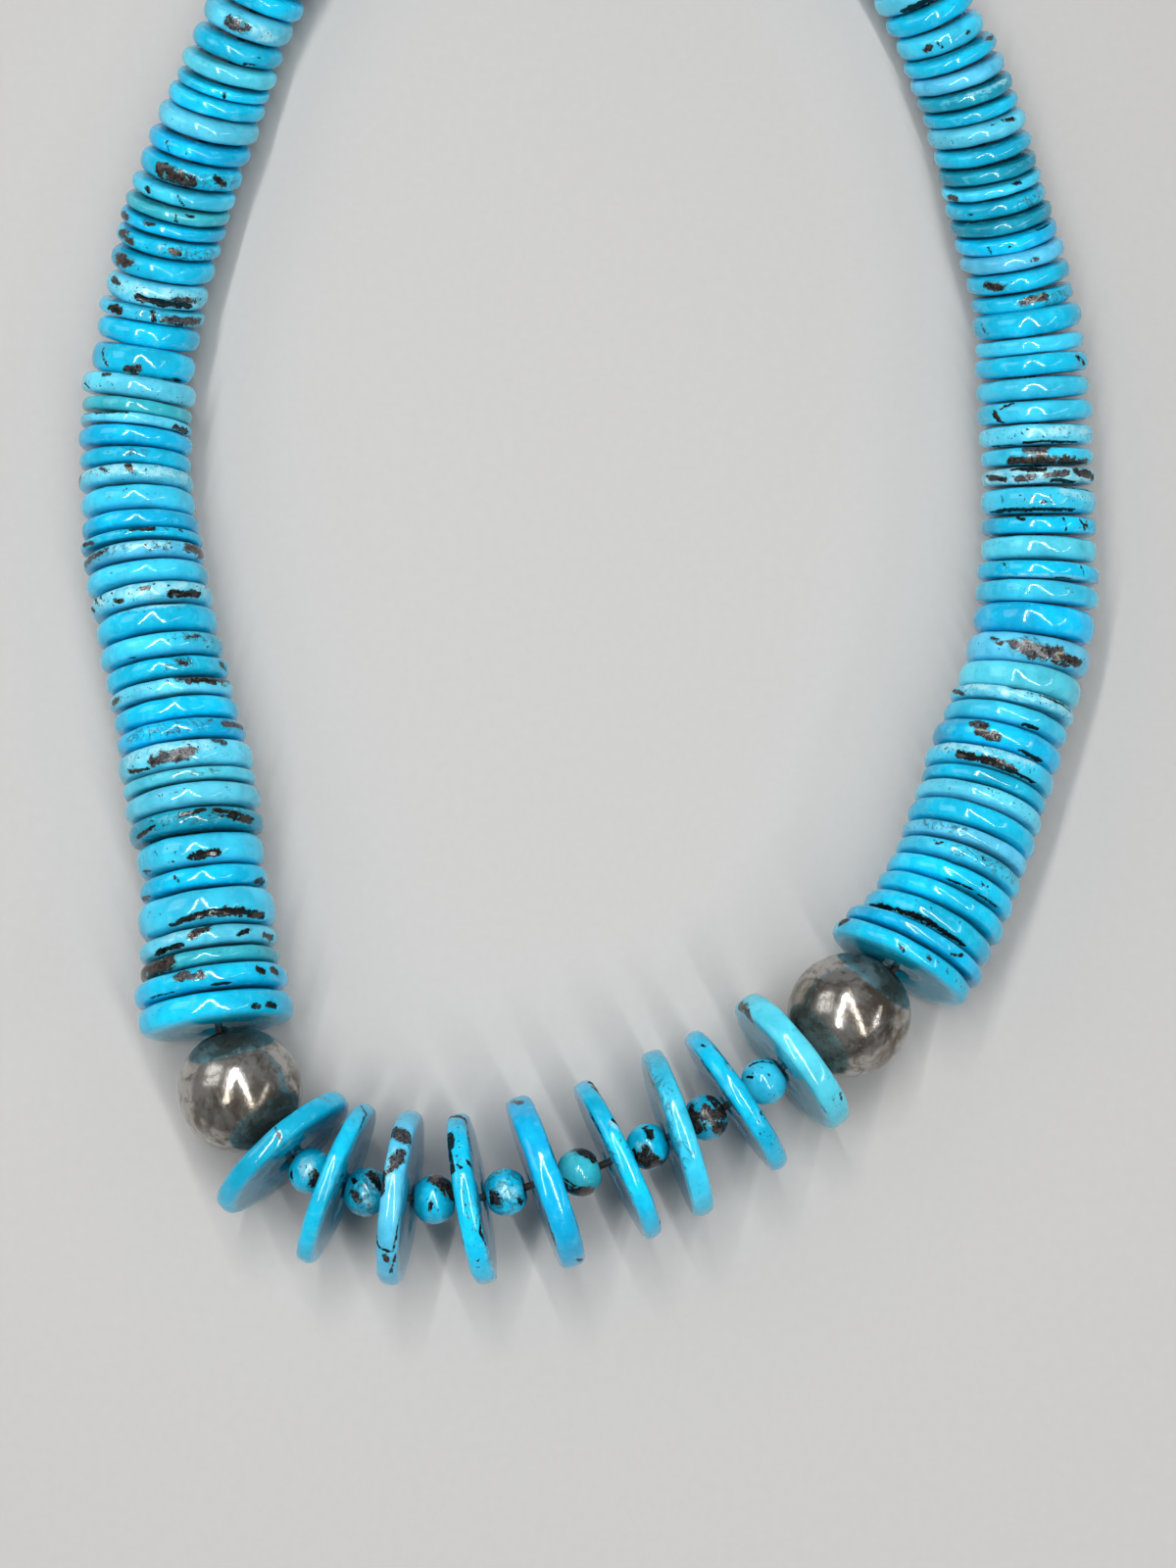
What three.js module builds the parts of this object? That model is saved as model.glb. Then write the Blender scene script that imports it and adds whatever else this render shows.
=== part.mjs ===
// Turquoise disc necklace, clasped and lying flat in a loop.
// Units are millimetres, +Z up, z = 0 is the surface it lies on.
// +Y runs from the large front discs to the clasp, +X to the wearer's left.
//
// A thread carries, from the clasp round: a strand of thin stone discs that grow toward the
// front, a silver bead, nine large discs with a small round bead between each two, a second
// silver bead, and a second strand back to the clasp. Every disc stands on its rim.
import * as THREE from 'three';
import { RoundedBoxGeometry } from 'three/addons/geometries/RoundedBoxGeometry.js';

// ---- driving dimensions ----------------------------------------------------------------

const FRAME_SHIFT = [0.15, -86.48];  // from the drawing's zero to the middle of the box
const THREAD_RADIUS = 0.45;
const DISC_EDGE = 0.55;              // chamfer that stands for a disc's rounded edge
const DISC_BORE = 1.45;
const STRAND_GAP = 0.27;             // between neighbouring discs, along the thread
const GROOVE_DEPTH = 1.3;            // between discs on the joined stretches
const SILVER_RADIUS = 7.0;
const SILVER_BORE = 1.7;
const SILVER_REACH = 7.17;           // from a silver bead's middle to its strand
const SMALL_BORE = 1.15;
const CLASP = { width: 9, height: 7.4, round: 1.8, gap: 1.0 };   // its length fills its room
const OWN_DISCS = 10;                // discs next to each silver bead that are solids of their own
const JOINED_RUNS = [12, 12, 13, 7, 7];   // the other discs, joined in runs toward the clasp

const FRONT_SIDES = 18;
const STRAND_SIDES = 14;
const JOINED_SIDES = 12;
const ROUND_SIDES = 16;
const SMALL_SIDES = 10;
const THREAD_SIDES = 6;
const THREAD_STEPS = 72;

// The thread in plan: a closed loop through these points, from the middle front disc toward
// +X, round the clasp at the back and home.
const LOOP = [
  [-4.8, 4.6], [3.1, 7.0], [10.0, 10.1], [16.6, 13.7], [23.0, 18.1], [29.6, 23.4],
  [35.6, 29.4], [40.2, 35.6], [43.4, 43.0], [47.0, 53.8], [51.0, 65.0], [52.6, 77.5],
  [52.5, 94.0], [51.6, 108.0], [48.6, 120.8], [46.0, 132.0], [41.0, 145.0], [37.6, 151.5],
  [33.3, 157.9], [27.0, 164.6], [19.9, 169.8], [10.6, 173.9], [0.0, 175.4], [-10.6, 173.9],
  [-19.9, 169.8], [-27.0, 164.5], [-33.2, 157.7], [-37.4, 151.0], [-40.6, 144.3],
  [-45.3, 130.8], [-49.2, 118.4], [-52.0, 104.0], [-53.1, 90.5], [-52.0, 78.2],
  [-49.4, 65.4], [-46.2, 52.0], [-44.0, 38.5], [-42.2, 23.6], [-39.3, 15.0],
  [-34.3, 8.0], [-28.0, 4.4], [-21.0, 2.9], [-12.9, 2.8],
];

// Front discs from left to right: distance along the thread from the middle one, diameter,
// thickness, the way the bore points in plan, and how far the top leans that way, degrees.
const FRONT_DISCS = [
  { along: -30.8, diameter: 18.6, thickness: 2.5, heading: -47.5, lean: -6 },
  { along: -23.8, diameter: 19.0, thickness: 2.2, heading: -21.5, lean: -2.5 },
  { along: -16.4, diameter: 19.8, thickness: 2.6, heading: -6.5, lean: -3 },
  { along: -8.4, diameter: 19.4, thickness: 2.6, heading: 10, lean: -2.5 },
  { along: 0.0, diameter: 20.3, thickness: 3.1, heading: 19.5, lean: 3 },
  { along: 8.5, diameter: 19.5, thickness: 2.3, heading: 26, lean: 3 },
  { along: 15.8, diameter: 19.6, thickness: 2.6, heading: 18.5, lean: 2.5 },
  { along: 23.4, diameter: 18.4, thickness: 2.4, heading: 34, lean: 1 },
  { along: 31.1, diameter: 18.0, thickness: 3.1, heading: 38, lean: 5 },
];
// Small beads between them: distance along the thread and diameter.
const SMALL_BEADS = [
  [-27.1, 5.3], [-20.3, 5.6], [-12.6, 5.6], [-4.55, 5.4], [4.0, 5.5], [12.2, 5.3],
  [19.5, 5.3], [27.2, 5.4],
];
const SMALL_SQUASH = 0.93;           // length of a small bead's ball over its diameter
const SILVER_ALONG = { left: -39.4, right: 39.55 };

// Strand discs, counted from the silver bead: [diameter, thickness].
const LEFT_DISCS = [
  [17.8, 3.2], [17.7, 2.6], [16.0, 1.9], [15.9, 2.2], [15.8, 4.1], [14.8, 2.4], [14.7, 3.6],
  [15.6, 2.4], [15.8, 2.6], [15.5, 1.5], [15.6, 3.1], [15.1, 2.3], [14.6, 2.5], [14.5, 2.0],
  [14.3, 2.3], [14.5, 2.6], [14.2, 3.1], [14.3, 2.4], [14.3, 2.5], [14.2, 2.0], [14.3, 1.2],
  [13.7, 2.3], [13.4, 2.8], [13.5, 2.2], [13.0, 2.1], [13.5, 2.3], [13.3, 1.3], [13.0, 1.8],
  [13.6, 2.7], [12.3, 3.7], [12.3, 2.9], [12.7, 1.7], [12.3, 2.9], [12.5, 2.5], [12.6, 2.0],
  [12.8, 1.5], [12.7, 1.5], [12.5, 1.9], [12.5, 2.6], [12.4, 2.1], [12.4, 2.6], [12.0, 2.0],
  [11.5, 1.3], [11.7, 2.1], [11.3, 2.5], [11.2, 3.0], [11.2, 2.5],
];
const RIGHT_DISCS = [
  [17.3, 2.3], [17.1, 1.8], [15.9, 2.8], [15.7, 2.3], [15.3, 2.3], [15.0, 2.1], [14.9, 1.8],
  [15.2, 2.5], [15.1, 2.1], [14.7, 1.7], [15.2, 2.3], [15.1, 3.0], [14.5, 2.4], [14.5, 1.6],
  [14.4, 3.2], [14.4, 3.6], [14.2, 3.6], [14.4, 2.6], [14.3, 2.2], [13.5, 2.9], [13.5, 2.1],
  [13.6, 3.2], [13.4, 2.1], [13.3, 2.1], [13.5, 2.5], [13.7, 2.6], [13.4, 2.6], [13.5, 2.5],
  [12.9, 2.0], [12.9, 3.1], [12.2, 2.0], [12.5, 2.3], [12.6, 2.1], [12.5, 1.9], [12.4, 1.6],
  [12.1, 1.9], [12.2, 1.4], [12.0, 1.7], [12.0, 1.9], [12.1, 2.3], [11.7, 1.6], [11.9, 1.7],
  [11.7, 2.0], [11.7, 1.8], [11.0, 2.7], [11.2, 2.4], [11.2, 2.6],
];
// Beyond these the discs taper evenly to the clasp.
const BACK = { count: 14, from: 11.1, to: 9.4, thicknesses: [2.4, 2.1, 2.6, 2.2, 2.5] };

// How the strand discs stand, at numbered discs: [disc, turn, lean], in degrees. Turn swings
// the bore from +Y toward +X, and lean tips the top toward the front. Turns between.
const LEFT_STANCE = [
  [1, -9, -4.5], [4, -9.5, -4.5], [8, -8, -4], [13, -9, -1], [18, -8.5, -2], [22, -4.5, 0],
  [24, 0, 0.5], [28, 7, 7], [30, 9, 14], [32, 11, 23], [34, 14, 29], [40, 17, 31],
  [44, 20, 31], [47, 28, 30],
];
const RIGHT_STANCE = [
  [1, 29, -6], [3, 27, -6], [5, 24, -7.5], [7, 20.5, -8], [11, 16, -6], [14, 13, -3],
  [16, 9, 1.5], [18, 4, 6], [21, 0, 9], [24, -1, 11], [28, -6, 15], [31, -11, 23],
  [34, -14, 30], [38, -15, 31], [42, -19, 31], [47, -30.5, 30],
];
const CLASP_LEAN = 6;                // lean of the last discs, beside the clasp

// ---- the loop and the stance of what is on it --------------------------------------------

const radians = THREE.MathUtils.degToRad;
const UP = new THREE.Vector3(0, 0, 1);

const loop = new THREE.CatmullRomCurve3(
  LOOP.map(([x, y]) => new THREE.Vector3(x + FRAME_SHIFT[0], y + FRAME_SHIFT[1], 0)),
  true, 'centripetal');
loop.arcLengthDivisions = 4000;
const loopLength = loop.getLength();

// Share of the loop at a signed distance along it from the middle front disc.
function share(along) {
  return THREE.MathUtils.euclideanModulo(along / loopLength, 1);
}

function planPoint(along) {
  return loop.getPointAt(share(along));
}

// Direction of the thread in plan, in degrees from +X.
function planHeading(along) {
  const t = loop.getTangentAt(share(along));
  return THREE.MathUtils.radToDeg(Math.atan2(t.y, t.x));
}

// How far the thread turns between two distances along it, in radians.
function turnOver(from, to) {
  const turn = radians(planHeading(to) - planHeading(from));
  return Math.abs(Math.atan2(Math.sin(turn), Math.cos(turn)));
}

// The frame of a piece that stands on the surface: y along its bore, z up its face, x across
// it. `heading` is the bore's direction in plan, `lean` tips the top toward that direction,
// and the piece is raised until the lowest point of its geometry meets the surface.
function standing(geometry, along, heading, lean) {
  const bore = new THREE.Vector3(Math.cos(radians(heading)), Math.sin(radians(heading)), 0);
  const tip = radians(lean);
  const face = UP.clone().multiplyScalar(Math.cos(tip)).addScaledVector(bore, Math.sin(tip));
  const axis = bore.clone().multiplyScalar(Math.cos(tip)).addScaledVector(UP, -Math.sin(tip));
  const across = new THREE.Vector3().crossVectors(axis, face);
  const frame = new THREE.Matrix4().makeBasis(across, axis, face);
  const points = geometry.clone().applyMatrix4(frame).attributes.position;
  const centre = planPoint(along);
  centre.z = -new THREE.Box3().setFromBufferAttribute(points).min.z;
  return frame.setPosition(centre);
}

// The frame of a bead that hangs on the taut thread, held up by the pieces on either side.
function hanging(before, after, along) {
  const [from, to] = [before, after].map((f) => new THREE.Vector3().setFromMatrixPosition(f));
  const axis = to.clone().sub(from).normalize();
  const across = new THREE.Vector3().crossVectors(axis, UP).normalize();
  const face = new THREE.Vector3().crossVectors(across, axis);
  const centre = planPoint(along);
  centre.z = (from.z + to.z) / 2;
  return new THREE.Matrix4().makeBasis(across, axis, face).setPosition(centre);
}

// Value of column `k` of a stance table at a disc number.
function between(table, number, k) {
  const last = table[table.length - 1];
  const after = table.findIndex((row) => row[0] >= number);
  if (after === 0) return table[0][k];
  if (after < 0) return last[k];
  const [a, b] = [table[after - 1], table[after]];
  return THREE.MathUtils.lerp(a[k], b[k], (number - a[0]) / (b[0] - a[0]));
}

// One strand, as a list of discs with their place and stance. `side` is +1 for the strand
// that follows the loop's own direction and -1 for the other.
function strand(discs, stances, side, silverAlong) {
  const tapered = Array.from({ length: BACK.count }, (_, i) => [
    THREE.MathUtils.lerp(BACK.from, BACK.to, i / (BACK.count - 1)),
    BACK.thicknesses[i % BACK.thicknesses.length],
  ]);
  const rows = [...discs, ...tapered];
  let reach = side * silverAlong + SILVER_REACH;
  return rows.map(([diameter, thickness], i) => {
    const number = i + 1;
    const inBack = number - discs.length;
    const lean = inBack <= 0
      ? between(stances, number, 2)
      : THREE.MathUtils.lerp(between(stances, discs.length, 2), CLASP_LEAN,
        inBack / BACK.count);
    const turn = inBack <= 0 ? 0 : turnOver(side * reach, side * (reach + thickness));
    const pitch = thickness / Math.cos(radians(lean)) + STRAND_GAP + turn * diameter / 2;
    const along = side * (reach + pitch / 2);
    reach += pitch;
    const heading = inBack <= 0
      ? 90 - between(stances, number, 1)
      : planHeading(along) + (side > 0 ? 0 : 180);
    return { diameter, thickness, along, heading, lean: -lean, reach };
  });
}

// ---- shapes -------------------------------------------------------------------------------

const STONE = { teal: 0x3aa5b4, sky: 0x4fb9de, pale: 0x9fd3de, blue: 0x1f9fd8 };
const TONES = [STONE.sky, STONE.pale, STONE.blue, STONE.teal, STONE.sky, STONE.pale];

function material(colour, roughness, metalness) {
  return new THREE.MeshStandardMaterial({ color: colour, roughness, metalness });
}

const necklace = new THREE.Group();

function add(name, geometry, look, frame) {
  const mesh = new THREE.Mesh(geometry, look);
  mesh.name = name;
  if (frame) mesh.applyMatrix4(frame);
  necklace.add(mesh);
  return mesh;
}

// A bored solid of revolution about y, with a flat of its outline turned downward. The
// profile runs up the outside, from the low end's bore edge to the high end's.
function bored(profile, sides) {
  const closed = [...profile, profile[0]];
  return new THREE.LatheGeometry(closed.map(([r, y]) => new THREE.Vector2(r, y)), sides,
    Math.PI / sides);
}

function discGeometry({ diameter, thickness }, sides) {
  const [r, h] = [diameter / 2, thickness / 2];
  return bored([
    [DISC_BORE, -h], [r - DISC_EDGE, -h], [r, -h + DISC_EDGE],
    [r, h - DISC_EDGE], [r - DISC_EDGE, h], [DISC_BORE, h],
  ], sides);
}

function discFrame(disc, sides) {
  return standing(discGeometry(disc, sides), disc.along, disc.heading, disc.lean);
}

// A round bead whose ends are cut flat where the bore comes out.
function roundGeometry(radius, bore, sides, rings, squash = 1) {
  const end = Math.asin((bore + 0.35) / radius);
  const half = radius * squash;
  const profile = [[bore, -half * Math.cos(end)]];
  for (let i = 0; i <= rings; i += 1) {
    const polar = THREE.MathUtils.lerp(end, Math.PI - end, i / rings);
    profile.push([radius * Math.sin(polar), -half * Math.cos(polar)]);
  }
  profile.push([bore, half * Math.cos(end)]);
  return bored(profile, sides);
}

// Several neighbouring discs as one solid: a lathe of the whole run, whose rings are then
// set each in its own disc's frame. A groove's ring lies midway between two discs.
function joinedGeometry(run, sides) {
  const rings = [];
  run.forEach((disc, i) => {
    const [r, h] = [disc.diameter / 2, disc.thickness / 2];
    const frame = discFrame(disc, sides);
    if (i === 0) {
      rings.push({ r: 0, y: -h, frame }, { r: r - DISC_EDGE, y: -h, frame });
    }
    rings.push({ r, y: -h + DISC_EDGE, frame }, { r, y: h - DISC_EDGE, frame });
    if (i === run.length - 1) {
      rings.push({ r: r - DISC_EDGE, y: h, frame }, { r: 0, y: h, frame });
    } else {
      const next = run[i + 1];
      const nextFrame = discFrame(next, sides);
      rings.push({
        r: Math.min(r, next.diameter / 2) - GROOVE_DEPTH,
        y: h, frame, nextY: -next.thickness / 2, nextFrame,
      });
    }
  });
  const profile = rings.map((ring, i) => new THREE.Vector2(ring.r, i));
  const geometry = new THREE.LatheGeometry(profile, sides, Math.PI / sides);
  const place = geometry.attributes.position;
  const point = new THREE.Vector3();
  for (let v = 0; v < place.count; v += 1) {
    const ring = rings[v % rings.length];
    const [x, z] = [place.getX(v), place.getZ(v)];
    point.set(x, ring.y, z).applyMatrix4(ring.frame);
    if (ring.nextFrame) {
      point.lerp(new THREE.Vector3(x, ring.nextY, z).applyMatrix4(ring.nextFrame), 0.5);
    }
    place.setXYZ(v, point.x, point.y, point.z);
  }
  geometry.deleteAttribute('normal');
  geometry.deleteAttribute('uv');
  return geometry;
}

// ---- front discs, small beads and silver beads --------------------------------------------

const threadPoints = [];

function threadThrough(frame) {
  threadPoints.push(new THREE.Vector3().setFromMatrixPosition(frame));
}

const twoDigits = (n) => String(n).padStart(2, '0');
const stoneLook = (i) => material(TONES[i % TONES.length], 0.22, 0);
const silverLook = material(0x8d8b86, 0.34, 1);

const frontFrames = FRONT_DISCS.map((disc) => discFrame(disc, FRONT_SIDES));
FRONT_DISCS.forEach((disc, i) => {
  add(`front_disc_${i + 1}`, discGeometry(disc, FRONT_SIDES), stoneLook(i), frontFrames[i]);
});
SMALL_BEADS.forEach(([along, diameter], i) => {
  const shape = roundGeometry(diameter / 2, SMALL_BORE, SMALL_SIDES, 4, SMALL_SQUASH);
  add(`small_bead_${i + 1}`, shape, stoneLook(i + 3),
    hanging(frontFrames[i], frontFrames[i + 1], along));
});

// ---- the two strands ------------------------------------------------------------------------

const strands = {
  left: strand(LEFT_DISCS, LEFT_STANCE, -1, SILVER_ALONG.left),
  right: strand(RIGHT_DISCS, RIGHT_STANCE, 1, SILVER_ALONG.right),
};
const ownFrames = {};
for (const [side, discs] of Object.entries(strands)) {
  ownFrames[side] = discs.slice(0, OWN_DISCS).map((disc) => discFrame(disc, STRAND_SIDES));
  ownFrames[side].forEach((frame, i) => {
    add(`${side}_disc_${twoDigits(i + 1)}`, discGeometry(discs[i], STRAND_SIDES),
      stoneLook(i + 1), frame);
  });
  let first = OWN_DISCS;
  JOINED_RUNS.forEach((count, i) => {
    const run = discs.slice(first, first + count);
    first += count;
    add(`${side}_run_${i + 1}`, joinedGeometry(run, JOINED_SIDES), stoneLook(i));
  });
}

const silverGeometry = roundGeometry(SILVER_RADIUS, SILVER_BORE, ROUND_SIDES, 8);
const silverFrames = {
  left: hanging(ownFrames.left[0], frontFrames[0], SILVER_ALONG.left),
  right: hanging(ownFrames.right[0], frontFrames.at(-1), SILVER_ALONG.right),
};
for (const [side, frame] of Object.entries(silverFrames)) {
  add(`silver_bead_${side}`, silverGeometry, silverLook, frame);
}

// ---- clasp: a plain rounded box that fills the gap between the two last discs ---------------

const claspFrom = strands.right.at(-1).reach + CLASP.gap;
const claspTo = loopLength - strands.left.at(-1).reach - CLASP.gap;
const claspAlong = (claspFrom + claspTo) / 2;
const claspGeometry = new RoundedBoxGeometry(
  CLASP.width, claspTo - claspFrom, CLASP.height, 3, CLASP.round);
const claspFrame = standing(claspGeometry, claspAlong, planHeading(claspAlong), 0);
add('clasp', claspGeometry, silverLook, claspFrame);

// ---- thread through every bored piece ---------------------------------------------------------

[...ownFrames.left].reverse().forEach(threadThrough);
threadThrough(silverFrames.left);
frontFrames.forEach(threadThrough);
threadThrough(silverFrames.right);
ownFrames.right.forEach(threadThrough);
const threadPath = new THREE.CatmullRomCurve3(threadPoints, false, 'centripetal');
const threadSection = new THREE.Shape(Array.from({ length: THREAD_SIDES }, (_, i) => {
  const angle = (2 * Math.PI * i) / THREAD_SIDES;
  return new THREE.Vector2(THREAD_RADIUS * Math.cos(angle), THREAD_RADIUS * Math.sin(angle));
}));
add('thread', new THREE.ExtrudeGeometry(threadSection, {
  steps: THREAD_STEPS, bevelEnabled: false, extrudePath: threadPath,
}), material(0x15120f, 0.8, 0));

export default necklace;
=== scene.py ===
"""Turquoise disc necklace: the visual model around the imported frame.

The tables are in millimetres and degrees, and the meshes in metres. A thread carries, from the
clasp round: a strand of thin discs that grow toward the front, a silver bead, nine large discs
with a small round bead between each two, a second silver bead and a second strand.
"""

import bpy
import numpy as np
from mathutils import Matrix


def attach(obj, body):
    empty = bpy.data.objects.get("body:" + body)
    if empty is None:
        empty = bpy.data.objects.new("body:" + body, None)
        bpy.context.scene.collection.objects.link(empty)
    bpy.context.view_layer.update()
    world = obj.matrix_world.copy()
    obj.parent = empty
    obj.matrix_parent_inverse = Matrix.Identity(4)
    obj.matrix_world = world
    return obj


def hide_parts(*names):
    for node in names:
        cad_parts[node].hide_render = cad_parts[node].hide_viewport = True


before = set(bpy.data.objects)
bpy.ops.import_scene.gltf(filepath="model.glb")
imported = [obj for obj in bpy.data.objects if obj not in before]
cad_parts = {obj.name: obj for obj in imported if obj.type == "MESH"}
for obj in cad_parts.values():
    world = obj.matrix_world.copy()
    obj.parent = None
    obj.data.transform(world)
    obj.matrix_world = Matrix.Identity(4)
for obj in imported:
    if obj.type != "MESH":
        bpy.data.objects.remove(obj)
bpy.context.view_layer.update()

# ---- driving dimensions ----

MM = 0.001
SHIFT = (0.15, -86.48)          # from the drawing's zero to the middle of the box
STRAND_GAP = 0.27               # between neighbouring discs, along the thread
SILVER_RADIUS = 7.0
SILVER_REACH = 7.17             # from a silver bead's middle to its strand
SILVER_ALONG = {"left": -39.4, "right": 39.55}
DISC_BORE = 1.45
SILVER_BORE = 1.7
SMALL_BORE = 1.15
SMALL_SQUASH = 0.93             # length of a small bead's ball over its diameter
CLASP = {"width": 9.0, "height": 7.4, "round": 1.8, "gap": 1.0}
OWN_DISCS = 10                  # discs next to each silver bead that are nodes of their own
JOINED_RUNS = (12, 12, 13, 7, 7)    # the other discs, joined in the CAD in runs toward the clasp

# The thread is laid of plies, `lay` being the length of one turn and `relief` the depth of the
# furrows between them over the radius. `fill` is its drawn radius over its own.
THREAD_SHAPE = {"radius": 0.45, "plies": 3, "lay": 2.2, "relief": 0.14, "fill": 0.92}
THREAD_STEPS = {"along": 1400, "around": 12}

# The thread in plan: a closed loop through these points, from the middle front disc toward +X.
LOOP = [
    (-4.8, 4.6), (3.1, 7.0), (10.0, 10.1), (16.6, 13.7), (23.0, 18.1), (29.6, 23.4),
    (35.6, 29.4), (40.2, 35.6), (43.4, 43.0), (47.0, 53.8), (51.0, 65.0), (52.6, 77.5),
    (52.5, 94.0), (51.6, 108.0), (48.6, 120.8), (46.0, 132.0), (41.0, 145.0), (37.6, 151.5),
    (33.3, 157.9), (27.0, 164.6), (19.9, 169.8), (10.6, 173.9), (0.0, 175.4), (-10.6, 173.9),
    (-19.9, 169.8), (-27.0, 164.5), (-33.2, 157.7), (-37.4, 151.0), (-40.6, 144.3),
    (-45.3, 130.8), (-49.2, 118.4), (-52.0, 104.0), (-53.1, 90.5), (-52.0, 78.2),
    (-49.4, 65.4), (-46.2, 52.0), (-44.0, 38.5), (-42.2, 23.6), (-39.3, 15.0),
    (-34.3, 8.0), (-28.0, 4.4), (-21.0, 2.9), (-12.9, 2.8),
]

# How the strand discs stand, at numbered discs from the silver bead: (disc, turn, lean). Turn
# swings the bore from +Y toward +X, and lean tips the top toward the front.
STANCES = {
    "left": [
        (1, -9, -4.5), (4, -9.5, -4.5), (8, -8, -4), (13, -9, -1), (18, -8.5, -2),
        (22, -4.5, 0), (24, 0, 0.5), (28, 7, 7), (30, 9, 14), (32, 11, 23), (34, 14, 29),
        (40, 17, 31), (44, 20, 31), (47, 28, 30),
    ],
    "right": [
        (1, 29, -6), (3, 27, -6), (5, 24, -7.5), (7, 20.5, -8), (11, 16, -6), (14, 13, -3),
        (16, 9, 1.5), (18, 4, 6), (21, 0, 9), (24, -1, 11), (28, -6, 15), (31, -11, 23),
        (34, -14, 30), (38, -15, 31), (42, -19, 31), (47, -30.5, 30),
    ],
}
CLASP_LEAN = 6                  # lean of the last discs, beside the clasp

# The discs at the back taper evenly to the clasp. They fill the last runs.
BACK = {"count": 14, "from": 11.1, "to": 9.4, "thicknesses": (2.4, 2.1, 2.6, 2.2, 2.5)}
BACK_RUNS = (4, 5)
BACK_TONES = ("sky", "pale", "light", "mid", "bright", "blue", "aqua")

# How stones are cut. Their rims are `depth` mm deep, on the strands up to `most` of half the
# thickness, and are superellipses with an exponent from the range `square`. `wave` is how much
# the thickness of a front disc changes, in mm, and on the strands that over the thickness.
FRONT_RIM = {"depth": 0.95, "square": (2.2, 2.9), "wave": 0.15}
STRAND_RIM = {"depth": 1.2, "most": 0.9, "square": (2.3, 3.0), "wave": 0.10}
RIM_STEPS = 9                   # points on each half of a disc's rim, across it
DISC_MOUTH = (0.3, 0.25)        # edge round a disc's bore: how far it goes out, and in
BEAD_MOUTH = (0.2, 0.12)
DISC_WOBBLE = 0.010             # how far the rim is from round, over the radius
BEAD_WOBBLE = 0.003
WOBBLE_WAVES = ((2, 0.5), (3, 0.3), (7, 0.2))       # (how many go round, share)
THICKNESS_WAVES = ((1, 0.55), (3, 0.3), (8, 0.15))
UNEVEN_FROM, UNEVEN_TO = 2.6, 0.2       # how far inside the rim it starts and is in full
DENTS = {"depth": 0.04, "size": 1.6, "from": 1.8, "to": 0.9}
SILVER_DENTS = {"share": 0.0025, "size": 5.0}

# How deep marks are sunk, in mm, and how far inside they are at that depth. They start to
# sink at `SUNK_FROM`.
SUNK = {"matrix": (0.05, 0.20), "black": (0.24, 0.25), "notch": (0.7, 0.18)}
SUNK_FROM = -0.02

# Columns round a stone: for each mm of a disc's diameter, or in all. The upper part, up to
# `UPPER` degrees to each side of the top, has three quarters of them.
DISC_COLUMNS = {"front": 9, "strand": 7.2, "back": 5.5}
SMALL_COLUMNS, SMALL_RINGS = 84, 16
SILVER_COLUMNS, SILVER_RINGS = 112, 30
UPPER = 100

# Where each group's random seeds start.
SEEDS = {"left": 0, "right": 100, "front": 200, "small": 300, "silver": 400}

# ---- the stones ----

# Body colours of the stones, linear RGB.
TONES = {
    "bright": (0.002, 0.570, 0.890),
    "sky": (0.004, 0.555, 0.850),
    "blue": (0.001, 0.490, 0.830),
    "azure": (0.001, 0.480, 0.860),
    "mid": (0.005, 0.480, 0.740),
    "light": (0.040, 0.600, 0.870),
    "pale": (0.110, 0.640, 0.860),
    "aqua": (0.095, 0.660, 0.840),
    "peri": (0.100, 0.560, 0.830),
    "teal": (0.006, 0.310, 0.450),
    "green": (0.040, 0.470, 0.580),
    "tan": (0.150, 0.460, 0.590),
}

# Marks on a stone, as "kind u0 s0 u1 s1 w": a stroke between two places, w mm to each side.
# u runs across the stone as it is seen from above, from -1 to 1, and s across its rim from -1
# to 1 and further on to its faces. On the strands u = 1 is at +X and s = 1 at the back. On the
# front discs and small beads u = 1 is at the front and s = 1 at +X.
# brown, grey and tan are matrix, black is an open pit, white is chalky stone, notch is broken
# out, and speck and vein sprinkle fine marks over the place.

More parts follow.
